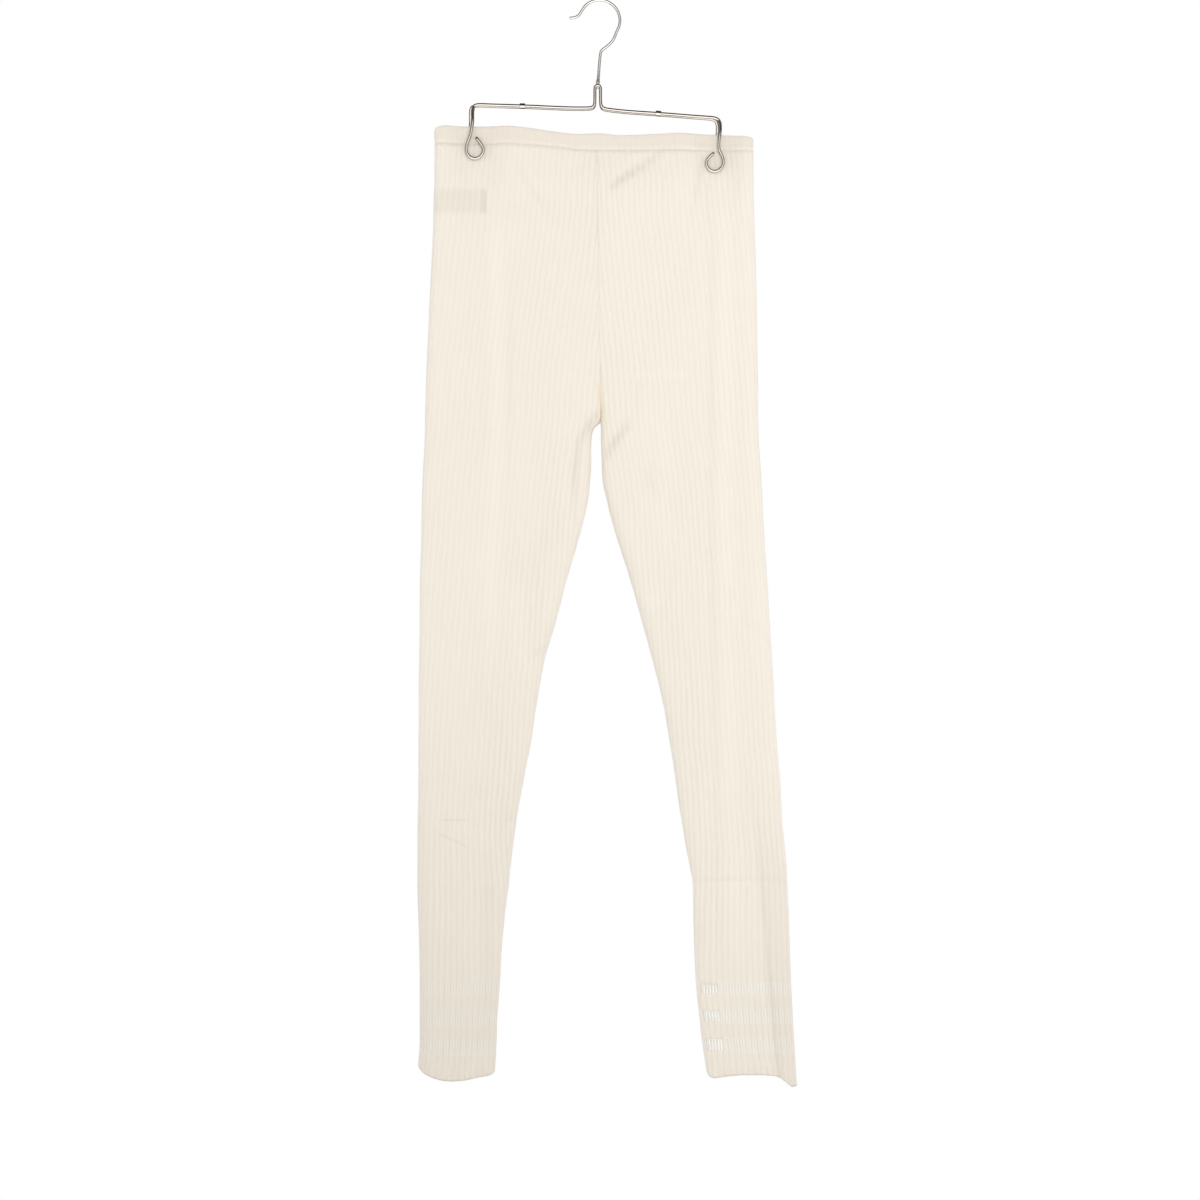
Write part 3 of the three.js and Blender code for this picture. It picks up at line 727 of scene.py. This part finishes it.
FRAME_CHROME = MottledFinish("chrome_frame", (0.7, 0.665, 0.625, 1), 0.07, 90.0, 0.18, 1.0, 0.06)
HOOK_CHROME = MottledFinish("chrome_hook", (0.84, 0.83, 0.82, 1), 0.1, 90.0, 0.18, 0.8, 0.06)
TAPE = MottledFinish("label_cloth", (0.78, 0.79, 0.8, 1), 0.6)
THREAD = MottledFinish("sewing_thread", (0.9, 0.84, 0.755, 1), 0.7)
FLOOR = MottledFinish("pale_floor", (0.93, 0.93, 0.92, 1), 0.9, 8.0, 0.02)


@dataclass(frozen=True)
class Blend:
    """An amount of painted shade, or a share of one, that comes in between two places, in millimetres, and
    stays beyond them.
    """

    amount: float
    low: float
    high: float

    def at(self, place: Array) -> Array:
        """Give the tone at some places."""
        return self.amount * smooth(place, self.low, self.high)


@dataclass
class LegPanel:
    """One cut panel of rib knit: ribs, drop-stitch rows near the hem, and a wall with real edges."""

    garment: Garment
    leg: Leg
    face: Face
    finish: bpy.types.Material
    rib_height: float = 0.5
    seam_ridge: float = 0.45
    ridge_width: float = 1.5
    wall: float = 1.1
    cut: tuple[float, float] = (0.2, 0.935)
    cut_area: float = 0.128
    rows_to_hem: tuple[float, float, int] = (-150.1, -976.0, 141)
    close_rows: dict = by_leg((-812, -852, 22), (-868, -887, 9))
    ladder_rows: dict = by_leg(
        ((-983, -991.5), (-1012.5, -1021.5), (-1038.5, -1049)),
        ((-982, -991), (-1008.5, -1018.5), (-1036, -1047)),
    )
    ladder_step: float = 2.6
    ladder_fade: float = 1.5
    columns_in_slit: int = 7
    open_slits: tuple[int, int] = (3, 8)
    open_width: int = 3
    closed_edge: int = 3
    back_shift: int = 2
    back_lower: float = 3.0
    back_lower_top: float = 1.2
    dip: float = 0.3
    row_light: dict = by_leg(0.5, 0.75)
    course_height: float = 1.5
    # Painted shade and light: base_shade lies under all of a leg so that painted light can lift it,
    # light_edge is painted light on the top row, and the blends below paint shade.
    base_shade: dict = by_leg(0.055, 0.042)
    light_edge: float = 0.09
    hatch: float = 0.7
    tone_width: float = 0.8
    under_band: Blend = Blend(0.07, -195, -152)
    under_band_right: float = 0.4
    under_band_left: Blend = Blend(0.6, -60, 60)
    down_leg: dict = by_leg(Blend(0.1, 560, 1050), Blend(0, 560, 1050))
    near_hem: Blend = Blend(0.08, 880, 1070)
    outer_edge: Blend = Blend(0.075, 160, 182)
    outer_edge_down: Blend = Blend(1, 700, 900)
    turned: Blend = Blend(0.085, -3, 2)
    tick: Blend = Blend(0.07, 1060, 1064)

    def levels(self) -> Array:
        """Place the rows: even down the leg, and on the borders of the drop-stitch rows.

        Returns:
            The level of each row.
        """
        top, low, count = self.close_rows[self.leg]
        even = np.linspace(*self.rows_to_hem)
        close = np.linspace(top, low, count)
        upper = np.concatenate([even[even > top + 2], close, even[even < low - 2]])
        marks = [self.rows_to_hem[1], *(z for pair in self.ladder() for z in pair), HEM_LEVEL]
        lower = [
            np.linspace(top, low, max(2, round((top - low) / self.ladder_step) + 1))[1:]
            for top, low in zip(marks, marks[1:])
        ]
        return np.concatenate([upper, *lower])

    def ribs(self, rows: Rows) -> Array:
        """Give the height of the ribs at each point, from 0 in a valley to 1 on a rib."""
        return 1 - (1 - np.abs(np.sin(math.pi * rows.wale))) * self.relief(rows)

    def relief(self, rows: Rows) -> Array:
        """Say how clear the ribs are: worn knit is softer in places.

        Args:
            rows: The panel's middle surface.

        Returns:
            The share of the full relief at each point.
        """
        x, z = rows.point[..., 0], rows.point[..., 2]
        soft = 0.8 + 0.2 * np.sin(x / 14 + 1.5 * np.sin(z / 95)) * np.cos(z / 60 + x / 40)
        inner = 1 + 0.3 * smooth(rows.across, 0.45, 0.8) * smooth(z, -950, -850)
        return soft * inner * (0.85 + 0.18 * smooth(-z, 600, 960))

    def ridge(self, rows: Rows) -> Array:
        """Give the height of the sewn ridge along the centre seam, in millimetres."""
        away = (rows.point[..., 0] - rows.point[:, -1:, 0]) / self.ridge_width
        return self.seam_ridge * np.exp(-(away**2)) * smooth(rows.point[..., 2], -425, -405)

    @property
    def columns(self) -> int:
        """Say how many columns the panel has: two slits fit in each rib at the hem."""
        return 2 * self.columns_in_slit * self.garment.ribs_at_hem[self.leg]

    @property
    def shift(self) -> int:
        """Say by how many columns the slits are set off: the back's lie behind the front's."""
        return self.back_shift if self.face is Face.BACK else 0

    def slit_width(self, slit: Array) -> Array:
        """Say how many columns a slit takes: the loose threads part only beside the left inseam.

        Args:
            slit: The slits' numbers from the side seam.

        Returns:
            The number of open columns, or 0 where the threads lie side by side.
        """
        from_inseam = 2 * self.garment.ribs_at_hem[self.leg] - slit
        first, last = self.open_slits
        beside = (from_inseam >= first) & (from_inseam <= last) & (self.leg is Leg.LEFT)
        return np.where(beside, self.open_width, 0)

    def ladder(self) -> tuple[tuple[float, float], ...]:
        """Give the drop-stitch rows: the back's reach lower, so that the slits show what lies behind."""
        at_top, at_foot = (self.back_lower_top, self.back_lower) if self.face is Face.BACK else (0.0, 0.0)
        return tuple((top - at_top, low - at_foot) for top, low in self.ladder_rows[self.leg])

    def in_ladder(self, levels: Array) -> Array:
        """Mark the drop-stitch rows from 0 to 1, in a column."""
        z, out = levels[:, None], self.ladder_fade
        return sum(smooth(z, low - out, low) * smooth(-z, -top - out, -top) for top, low in self.ladder())

    def gaps(self, shift: int) -> Array:
        """Say how far each column lies in the gap between two loose threads, from 0 to 1."""
        turn = 2 * math.pi * (np.arange(self.columns + 1) + shift) / self.columns_in_slit
        return (0.5 + 0.5 * np.cos(turn)) ** 2

    def painted_thread_light(self, levels: Array) -> Array:
        """Say how much painted light the loose threads get: none where they part and show what is behind."""
        slit = (np.arange(self.columns + 1) + self.columns_in_slit // 2) // self.columns_in_slit
        return self.in_ladder(levels) * np.where(self.slit_width(slit) > 0, 0.0, self.row_light[self.leg])

    def open_faces(self, levels: Array) -> Array:
        """Say which faces of the grid lie in a slit between two loose threads.

        Args:
            levels: The level of each row of points.

        Returns:
            True or False for each face, row by row.
        """
        middle = (levels[1:] + levels[:-1]) / 2
        inside = np.any([(low < middle) & (middle < top) for top, low in self.ladder()], axis=0)
        column = np.arange(self.columns)
        shifted = column + self.columns_in_slit // 2 + self.shift
        wide = self.slit_width(shifted // self.columns_in_slit)
        parted = (shifted - (self.columns_in_slit - wide) // 2) % self.columns_in_slit < wide
        parted &= (column >= self.closed_edge) & (column <= self.columns - self.closed_edge)
        return (inside[:, None] & parted[None, :]).ravel()

    def tones(self, rows: Rows) -> tuple[Array, Array]:
        """Work out how far the cloth's colour is darkened by painted shade, less where painted light goes,
        and how far it is yellowed, at each point.

        Args:
            rows: The panel's middle surface.

        Returns:
            The shade and the warmth, each from 0 to 1.
        """
        x, z = rows.point[..., 0], rows.point[..., 2]
        shade = np.full_like(x, self.base_shade[self.leg])
        # Painted shade in the folds' troughs, stronger in the rib valleys, and painted light along ridges
        # where a tone is negative.
        hatch = self.hatch * (2 - self.ribs(rows))
        for fold in FOLDS[self.face]:
            if fold.tone:
                strength = fold.strength(x, z, self.tone_width * fold.width)
                shade += fold.tone * (hatch if fold.tone > 0 else 1) * strength
        warmth = np.zeros_like(x)
        if self.face is Face.FRONT:
            shade += self.show_through(x, z) + self.snags(x, z) + self.turned_strip(x, z)
            # Painted shade: darker just under the band, more on the left leg's side, darker down the right
            # leg and near both hems, and along the right leg's outer edge low down.
            shade += self.under_band.at(z) * (self.under_band_right + self.under_band_left.at(x))
            shade += self.down_leg[self.leg].at(-z) + self.near_hem.at(-z)
            shade += self.outer_edge.at(-x) * self.outer_edge_down.at(-z)
            warmth += self.streak(x, z)
        # Painted light on the top row, just under the band's lower edge.
        shade[0] -= self.light_edge
        return np.clip(shade, 0, 1), np.clip(warmth, 0, 1)

    def streak(self, x: Array, z: Array) -> Array:
        """Warm a short streak beside the centre seam, just above the crotch."""
        away = (x + 4.5 + (z + 376.5) * 0.215) / 1.5
        return 0.8 * np.exp(-(away**2)) * smooth(-z, 374, 392) * smooth(z, -420, -412)

    def show_through(self, x: Array, z: Array) -> Array:
        """Shade the front where the care label lies behind it, most at the label's folded end."""
        inside = smooth(z, -215, -212) * (1 - smooth(z, -192, -189)) * (1 - smooth(x, -113.5, -111.5))
        return inside * (0.11 + 0.12 * smooth(x, -119, -116.5))

    def turned_strip(self, x: Array, z: Array) -> Array:
        """Shade the left calf's outer strip, where the cloth turns to the back."""
        border = np.interp(-z, (801.5, 901.5, 961.5, 981.5, 1074.5), (152.5, 162.5, 166.5, 170.5, 178.5))
        return self.turned.at(x - border) * smooth(-z, 780, 900)

    def snags(self, x: Array, z: Array) -> Array:
        """Darken the two small snag marks above the right hem.

        Args:
            x: The points' places across.
            z: Their heights.

        Returns:
            The shade at each point.
        """
        upper = np.exp(-(((z + 817.8 - 0.004 * (x + 146) ** 2) / 1.0) ** 2))
        upper *= smooth(x, -159, -155) * (1 - smooth(x, -134, -130))
        lower = np.exp(-(((z + 831.5 + (x + 159.5) * 0.46) / 1.1) ** 2))
        lower *= smooth(x, -161, -158) * (1 - smooth(x, -135, -131))
        return 0.2 * (upper + lower) * (0.65 + 0.35 * np.cos(x * 2 * math.pi / 2.8))

    def build(self) -> bpy.types.Object:
        """Shape the panel out of a grid, open its slits and give it a wall.

        Returns:
            The dressed panel.
        """
        levels = self.levels()
        rows = self.garment.rows(self.leg, self.face, levels, self.columns)
        dips = self.in_ladder(levels) * self.gaps(self.shift)
        raised = self.ribs(rows) * self.rib_height + self.ridge(rows) - dips * self.dip
        shade, warmth = self.tones(rows)
        work = cloth_grid(rows.point + rows.outward * raised[..., None], {
            "relief": self.relief(rows),
            "wale": rows.wale,
            "course": -levels[:, None] / self.course_height,
            # The hem's fine edge gets painted shade between its threads.
            "shade": shade + self.tick.at(-levels)[:, None] * self.gaps(0),
            "warmth": warmth,
            # loose carries the painted light on the drop-stitch threads, and gap the painted shade between
            # them.
            "loose": self.painted_thread_light(levels),
            "gap": dips,
        })
        slits = [face for face, is_open in zip(work.faces, self.open_faces(levels)) if is_open]
        bmesh.ops.delete(work, geom=slits, context="FACES")
        if self.inwards(work):
            bmesh.ops.reverse_faces(work, faces=work.faces)
        side, leg = self.face.name.lower(), self.leg.name.lower()
        piece = new_object(f"cloth_{side}_{leg}", work, self.finish)
        wall = piece.modifiers.new("wall", "SOLIDIFY")
        wall.thickness = self.wall * MM
        wall.offset = -1
        wall.use_even_offset = False
        finish_piece(piece, "rib_knit", f"{side}_{leg}")
        return piece

    def inwards(self, work: Mesh) -> bool:
        """Say whether the grid's faces point into the garment."""
        work.normal_update()
        return sum(face.normal.y for face in work.faces) * self.face.value < 0


@dataclass
class Waistband:
    """The folded casing: a ring with faint ribs, a rounded top and a stitched lower edge."""

    garment: Garment
    finish: bpy.types.Material
    columns: int = 200
    level: float = -146.0
    profile: tuple = (
        (-0.05, -1.5), (-0.06, -0.5), (-0.05, -0.1), (-0.03, 0.12), (0.05, 0.3), (0.15, 0.42),
        (0.26, 0.65), (0.4, 0.85), (0.6, 0.95), (0.78, 0.8), (0.9, 0.45), (0.97, -0.1),
        (1.0, -0.9), (0.97, -1.6), (0.85, -2.0), (0.5, -2.1), (0.0, -2.0),
    )
    rib_height: float = 0.18
    relief: float = 0.35
    courses: int = 11
    # Painted shade: the band is darker than the legs, more on the left leg's side, and less on its lower lip.
    shade: float = 0.205
    shade_left: Blend = Blend(0.03, 0, 120)
    shade_at_edge: float = 0.12
    edge: float = 0.2
    cut: tuple[float, float] = (0.66, 0.0165)

    def ring(self, level: float, proud: float) -> tuple[Array, Array]:
        """Lay out one ring of the band, all the way round.

        Args:
            level: The share of the height from the stitch line, 0, to the top, 1.
            proud: How far it stands out of the panels' form, in millimetres.

        Returns:
            The ring's points, and the ribs counted at each.
        """
        parts, counts = [], []
        for leg, face, back in (
            (Leg.RIGHT, Face.FRONT, False), (Leg.LEFT, Face.FRONT, True),
            (Leg.LEFT, Face.BACK, False), (Leg.RIGHT, Face.BACK, True),
        ):
            rows = self.garment.rows(leg, face, np.array([self.level]), self.columns)
            x = rows.point[0, :, 0]
            stitch = soft_curve(x, STITCH_X, STITCH_Z)
            height = stitch + (soft_curve(x, WAIST_X, WAIST_TOP) - stitch) * level
            base = self.garment.surface(leg, face, np.full(x.shape, self.level), rows.across[0], height)
            valley = 0.5 - 0.5 * np.cos(2 * math.pi * rows.wale[0])
            out = proud + valley * self.rib_height * (proud > 0)
            points = base + rows.outward[0] * out[:, None]
            order = slice(None, 0, -1) if back else slice(0, -1)
            parts.append(points[order])
            counts.append(rows.wale[0][order])
        return np.concatenate(parts), np.concatenate(counts)

    def build(self) -> bpy.types.Object:
        """Bridge the rings of the band's profile into one closed wall.

        Returns:
            The dressed band.
        """
        rings = [self.ring(level, proud) for level, proud in self.profile]
        points = np.pad(np.stack([points for points, _ in rings]), ((0, 1), (0, 1), (0, 0)), mode="wrap")
        wale = np.pad(np.stack([counts for _, counts in rings]), ((0, 1), (0, 1)), mode="wrap")
        level = np.pad(np.array(self.profile)[:, :1], ((0, 1), (0, 0)), mode="wrap")
        shade = self.shade + self.shade_left.at(points[..., 0])
        work = cloth_grid(points, {
            "relief": self.relief,
            "wale": wale,
            "course": level * self.courses,
            "shade": np.where(level > self.edge, shade, self.shade_at_edge),
        })
        bmesh.ops.remove_doubles(work, verts=work.verts, dist=SAME_PLACE)
        bmesh.ops.recalc_face_normals(work, faces=work.faces)
        piece = new_object("waistband_casing", work, self.finish)
        finish_piece(piece, "rib_knit", "waistband")
        return piece


@dataclass
class CareLabel:
    """The blank label inside the right side seam: a thin folded tape."""

    finish: bpy.types.Material
    cut: tuple[float, float] = (0.05, 0.023)
    seam_x: float = -0.163
    wave: float = 0.0004
    waves: float = 400.0

    def build(self) -> bpy.types.Object:
        """Refine a copy of the plain label into soft tape with a folded end.

        Returns:
            The dressed label.
        """
        work = merged_copy("care_label")
        bmesh.ops.subdivide_edges(work, edges=work.edges, cuts=3, use_grid_fill=True)
        for vert in work.verts:
            free = (vert.co.x - self.seam_x) / self.cut[0]
            vert.co.y += self.wave * math.sin(vert.co.z * self.waves) * free
        piece = new_object("care_label_tape", work, self.finish)
        finish_piece(piece, "label_cloth", "care_label")
        return piece


@dataclass
class Stitching:
    """The short stitches along the waistband's lower edge, front and back."""

    garment: Garment
    finish: bpy.types.Material
    step: float = 2.6
    length: float = 1.7
    radius: float = 0.15
    proud: float = 0.5
    level: float = 0.12

    def build(self) -> bpy.types.Object:
        """Lay one small stitch after another round the band.

        Returns:
            The stitches as one joined piece.
        """
        band = Waistband(self.garment, self.finish)
        points, _ = band.ring(self.level, self.proud)
        closed = np.vstack([points, points[:1]])
        far = np.concatenate([[0], np.cumsum(np.linalg.norm(np.diff(closed, axis=0), axis=1))])
        starts = np.arange(0, far[-1] - self.step, self.step)
        work = bmesh.new()
        for start in starts:
            ends = [
                Vector([np.interp(at, far, closed[:, axis]) for axis in range(3)]) * MM
                for at in (start, start + self.length)
            ]
            run = ends[1] - ends[0]
            turned = run.to_track_quat("Z", "Y").to_matrix().to_4x4()
            place = Matrix.Translation((ends[0] + ends[1]) / 2) @ turned
            size = Matrix.Diagonal((self.radius * MM, self.radius * MM, run.length / 2, 1))
            bmesh.ops.create_icosphere(work, subdivisions=1, radius=1, matrix=place @ size)
        piece = new_object("waist_stitches", work, self.finish)
        finish_piece(piece, "rib_knit")
        return piece


@dataclass
class HangerWire:
    """A round chrome wire: its plain solid made smooth."""

    node: str
    finish: bpy.types.Material
    radius_gain: float = 0.11
    levels: int = 2
    join_angle: float = 35.0
    shape_angle: float = 60.0

    def build(self) -> bpy.types.Object:
        """Round off a merged copy of the plain wire.

        Returns:
            The dressed wire.
        """
        work = merged_copy(self.node)
        bmesh.ops.join_triangles(
            work, faces=work.faces, angle_face_threshold=math.radians(self.join_angle),
            angle_shape_threshold=math.radians(self.shape_angle),
        )
        work.normal_update()
        for vert in work.verts:
            vert.co += vert.normal * self.radius_gain * MM
        piece = new_object(f"{self.node}_round", work, self.finish)
        smoothing = piece.modifiers.new("round", "SUBSURF")
        smoothing.levels = self.levels
        smoothing.render_levels = self.levels
        finish_piece(piece, "chrome_wire", self.node)
        return piece


@dataclass
class SlideRing:
    """A small chrome bead that slides along both arms."""

    node: str
    finish: bpy.types.Material
    bevel: float = 0.28
    segments: int = 3
    flat_angle: float = 2.0
    rim_angle: float = 60.0

    def build(self) -> bpy.types.Object:
        """Round the rims of a merged copy of the plain ring.

        Returns:
            The dressed bead.
        """
        work = merged_copy(self.node)
        bmesh.ops.dissolve_limit(
            work, angle_limit=math.radians(self.flat_angle), verts=work.verts, edges=work.edges
        )
        rims = [
            edge for edge in work.edges
            if len(edge.link_faces) == 2 and edge.calc_face_angle(0) > math.radians(self.rim_angle)
        ]
        bmesh.ops.bevel(
            work, geom=rims, offset=self.bevel * MM, offset_type="OFFSET", segments=self.segments,
            profile=0.5, affect="EDGES", material=-1,
        )
        piece = new_object(f"{self.node}_bead", work, self.finish)
        finish_piece(piece, "chrome_wire", self.node)
        return piece


@dataclass(frozen=True)
class SoftLight:
    """A square light that looks at the garment's middle, in metres and watts."""

    name: str
    place: tuple[float, float, float]
    size: float
    power: float


@dataclass
class Studio:
    """White surround, pale floor, soft lights and the level camera."""

    camera_distance: float = 2.6
    frame_size: float = 1.2
    middle: tuple[float, float] = (0.0005, -0.5985)
    sensor: float = 36.0
    floor_z: float = -1.9
    floor_radius: float = 1.5
    soft_white: tuple = (1, 0.995, 0.985, 1)
    soft_strength: float = 0.64
    white: tuple = (1, 1, 1, 1)
    chrome_dark: tuple = (0.06, 0.045, 0.038, 1)
    chrome_bright: tuple = (1.9, 1.86, 1.8, 1)
    bright_ahead: tuple[float, float] = (0.74, 0.96)
    bright_behind: tuple[float, float] = (0.84, 0.98)
    bright_beside: tuple[float, float] = (0.3, 0.75)
    beside_share: float = 0.1
    ahead_tilt: float = -0.45
    lights: tuple[SoftLight, ...] = (
        SoftLight("key", (0.45, -1.9, 0.0), 0.9, 13.5),
        SoftLight("fill_left", (-1.7, -0.5, -0.4), 1.2, 7),
        SoftLight("fill_right", (1.7, -0.5, -0.4), 1.2, 5),
        SoftLight("back", (0.5, 2.2, 0.0), 1.4, 11),
    )

    def camera(self) -> None:
        """Place the camera level with the middle of the photograph's frame."""
        data = bpy.data.cameras.new("camera")
        data.sensor_width = self.sensor
        data.lens = self.sensor * self.camera_distance / self.frame_size
        made = bpy.data.objects.new("camera", data)
        x, z = self.middle
        made.location = (x, -self.camera_distance, z)
        made.rotation_euler = (math.pi / 2, 0, 0)
        bpy.context.scene.collection.objects.link(made)
        bpy.context.scene.camera = made

    def area(self, light: SoftLight) -> None:
        """Add a light that shows in no reflection.

        Args:
            light: Its name, place, size and power.
        """
        data = bpy.data.lights.new(light.name, "AREA")
        data.size = light.size
        data.energy = light.power
        made = bpy.data.objects.new(light.name, data)
        made.location = light.place
        made.visible_glossy = False
        aim = Vector((0, 0, self.middle[1])) - Vector(light.place)
        made.rotation_euler = aim.to_track_quat("-Z", "Y").to_euler()
        bpy.context.scene.collection.objects.link(made)

    def world(self) -> None:
        """Surround the scene with white that lights softly, with dark strips for the chrome."""
        n = Nodes(bpy.data.worlds.new("white_surround"), "ShaderNodeOutputWorld")
        bpy.context.scene.world = n.owner
        place = n.add("ShaderNodeTexCoord").outputs["Generated"]
        x, y, z = n.add("ShaderNodeSeparateXYZ", {0: place}).outputs
        tilted = n.math("SUBTRACT", n.math("MULTIPLY", z, self.ahead_tilt), y)
        ends = n.math("MAXIMUM", n.rise(y, *self.bright_behind), n.rise(tilted, *self.bright_ahead))
        sides = n.rise(n.math("ABSOLUTE", x), *self.bright_beside, "LINEAR")
        lighter = n.math("MAXIMUM", ends, n.math("MULTIPLY", sides, self.beside_share))
        mirrored = n.mix(lighter, self.chrome_dark, self.chrome_bright)
        lit, shown, glossy = (
            n.add("ShaderNodeBackground", {"Color": color, "Strength": strength}).outputs[0]
            for color, strength in ((self.soft_white, self.soft_strength), (self.white, 1.0), (mirrored, 1.0))
        )
        path = n.add("ShaderNodeLightPath").outputs
        first = n.add("ShaderNodeMixShader", {0: path["Is Glossy Ray"], 1: lit, 2: glossy}).outputs[0]
        second = n.add("ShaderNodeMixShader", {0: path["Is Camera Ray"], 1: first, 2: shown}).outputs[0]
        n.feed(n.output.inputs[0], second)

    def floor(self) -> None:
        """Lay a pale round floor well under the hems."""
        work = bmesh.new()
        bmesh.ops.create_circle(
            work, cap_ends=True, segments=96, radius=self.floor_radius,
            matrix=Matrix.Translation((0, 0, self.floor_z)),
        )
        new_object("floor", work, FLOOR.material())

    def build(self) -> None:
        """Set up the whole studio."""
        view = bpy.context.scene.view_settings
        view.view_transform = "Standard"
        view.look = "None"
        self.camera()
        self.world()
        self.floor()
        for light in self.lights:
            self.area(light)


def main() -> None:
    """Build the leggings, their hanger and the studio, and report each piece."""
    logging.basicConfig(level=logging.INFO, format="%(name)s: %(message)s")
    garment = Garment()
    knit, chrome, satin = KnitFinish().material(), FRAME_CHROME.material(), HOOK_CHROME.material()
    tape, thread = TAPE.material(), THREAD.material()
    for face in Face:
        for leg in Leg:
            LegPanel(garment, leg, face, knit).build()
    Waistband(garment, knit).build()
    CareLabel(tape).build()
    Stitching(garment, thread).build()
    HangerWire("hook", satin).build()
    for node in ("frame_wire_front", "frame_wire_back"):
        HangerWire(node, chrome).build()
    for node in ("slide_ring_right", "slide_ring_left"):
        SlideRing(node, chrome).build()
    Studio().build()


if __name__ == "__main__":
    main()
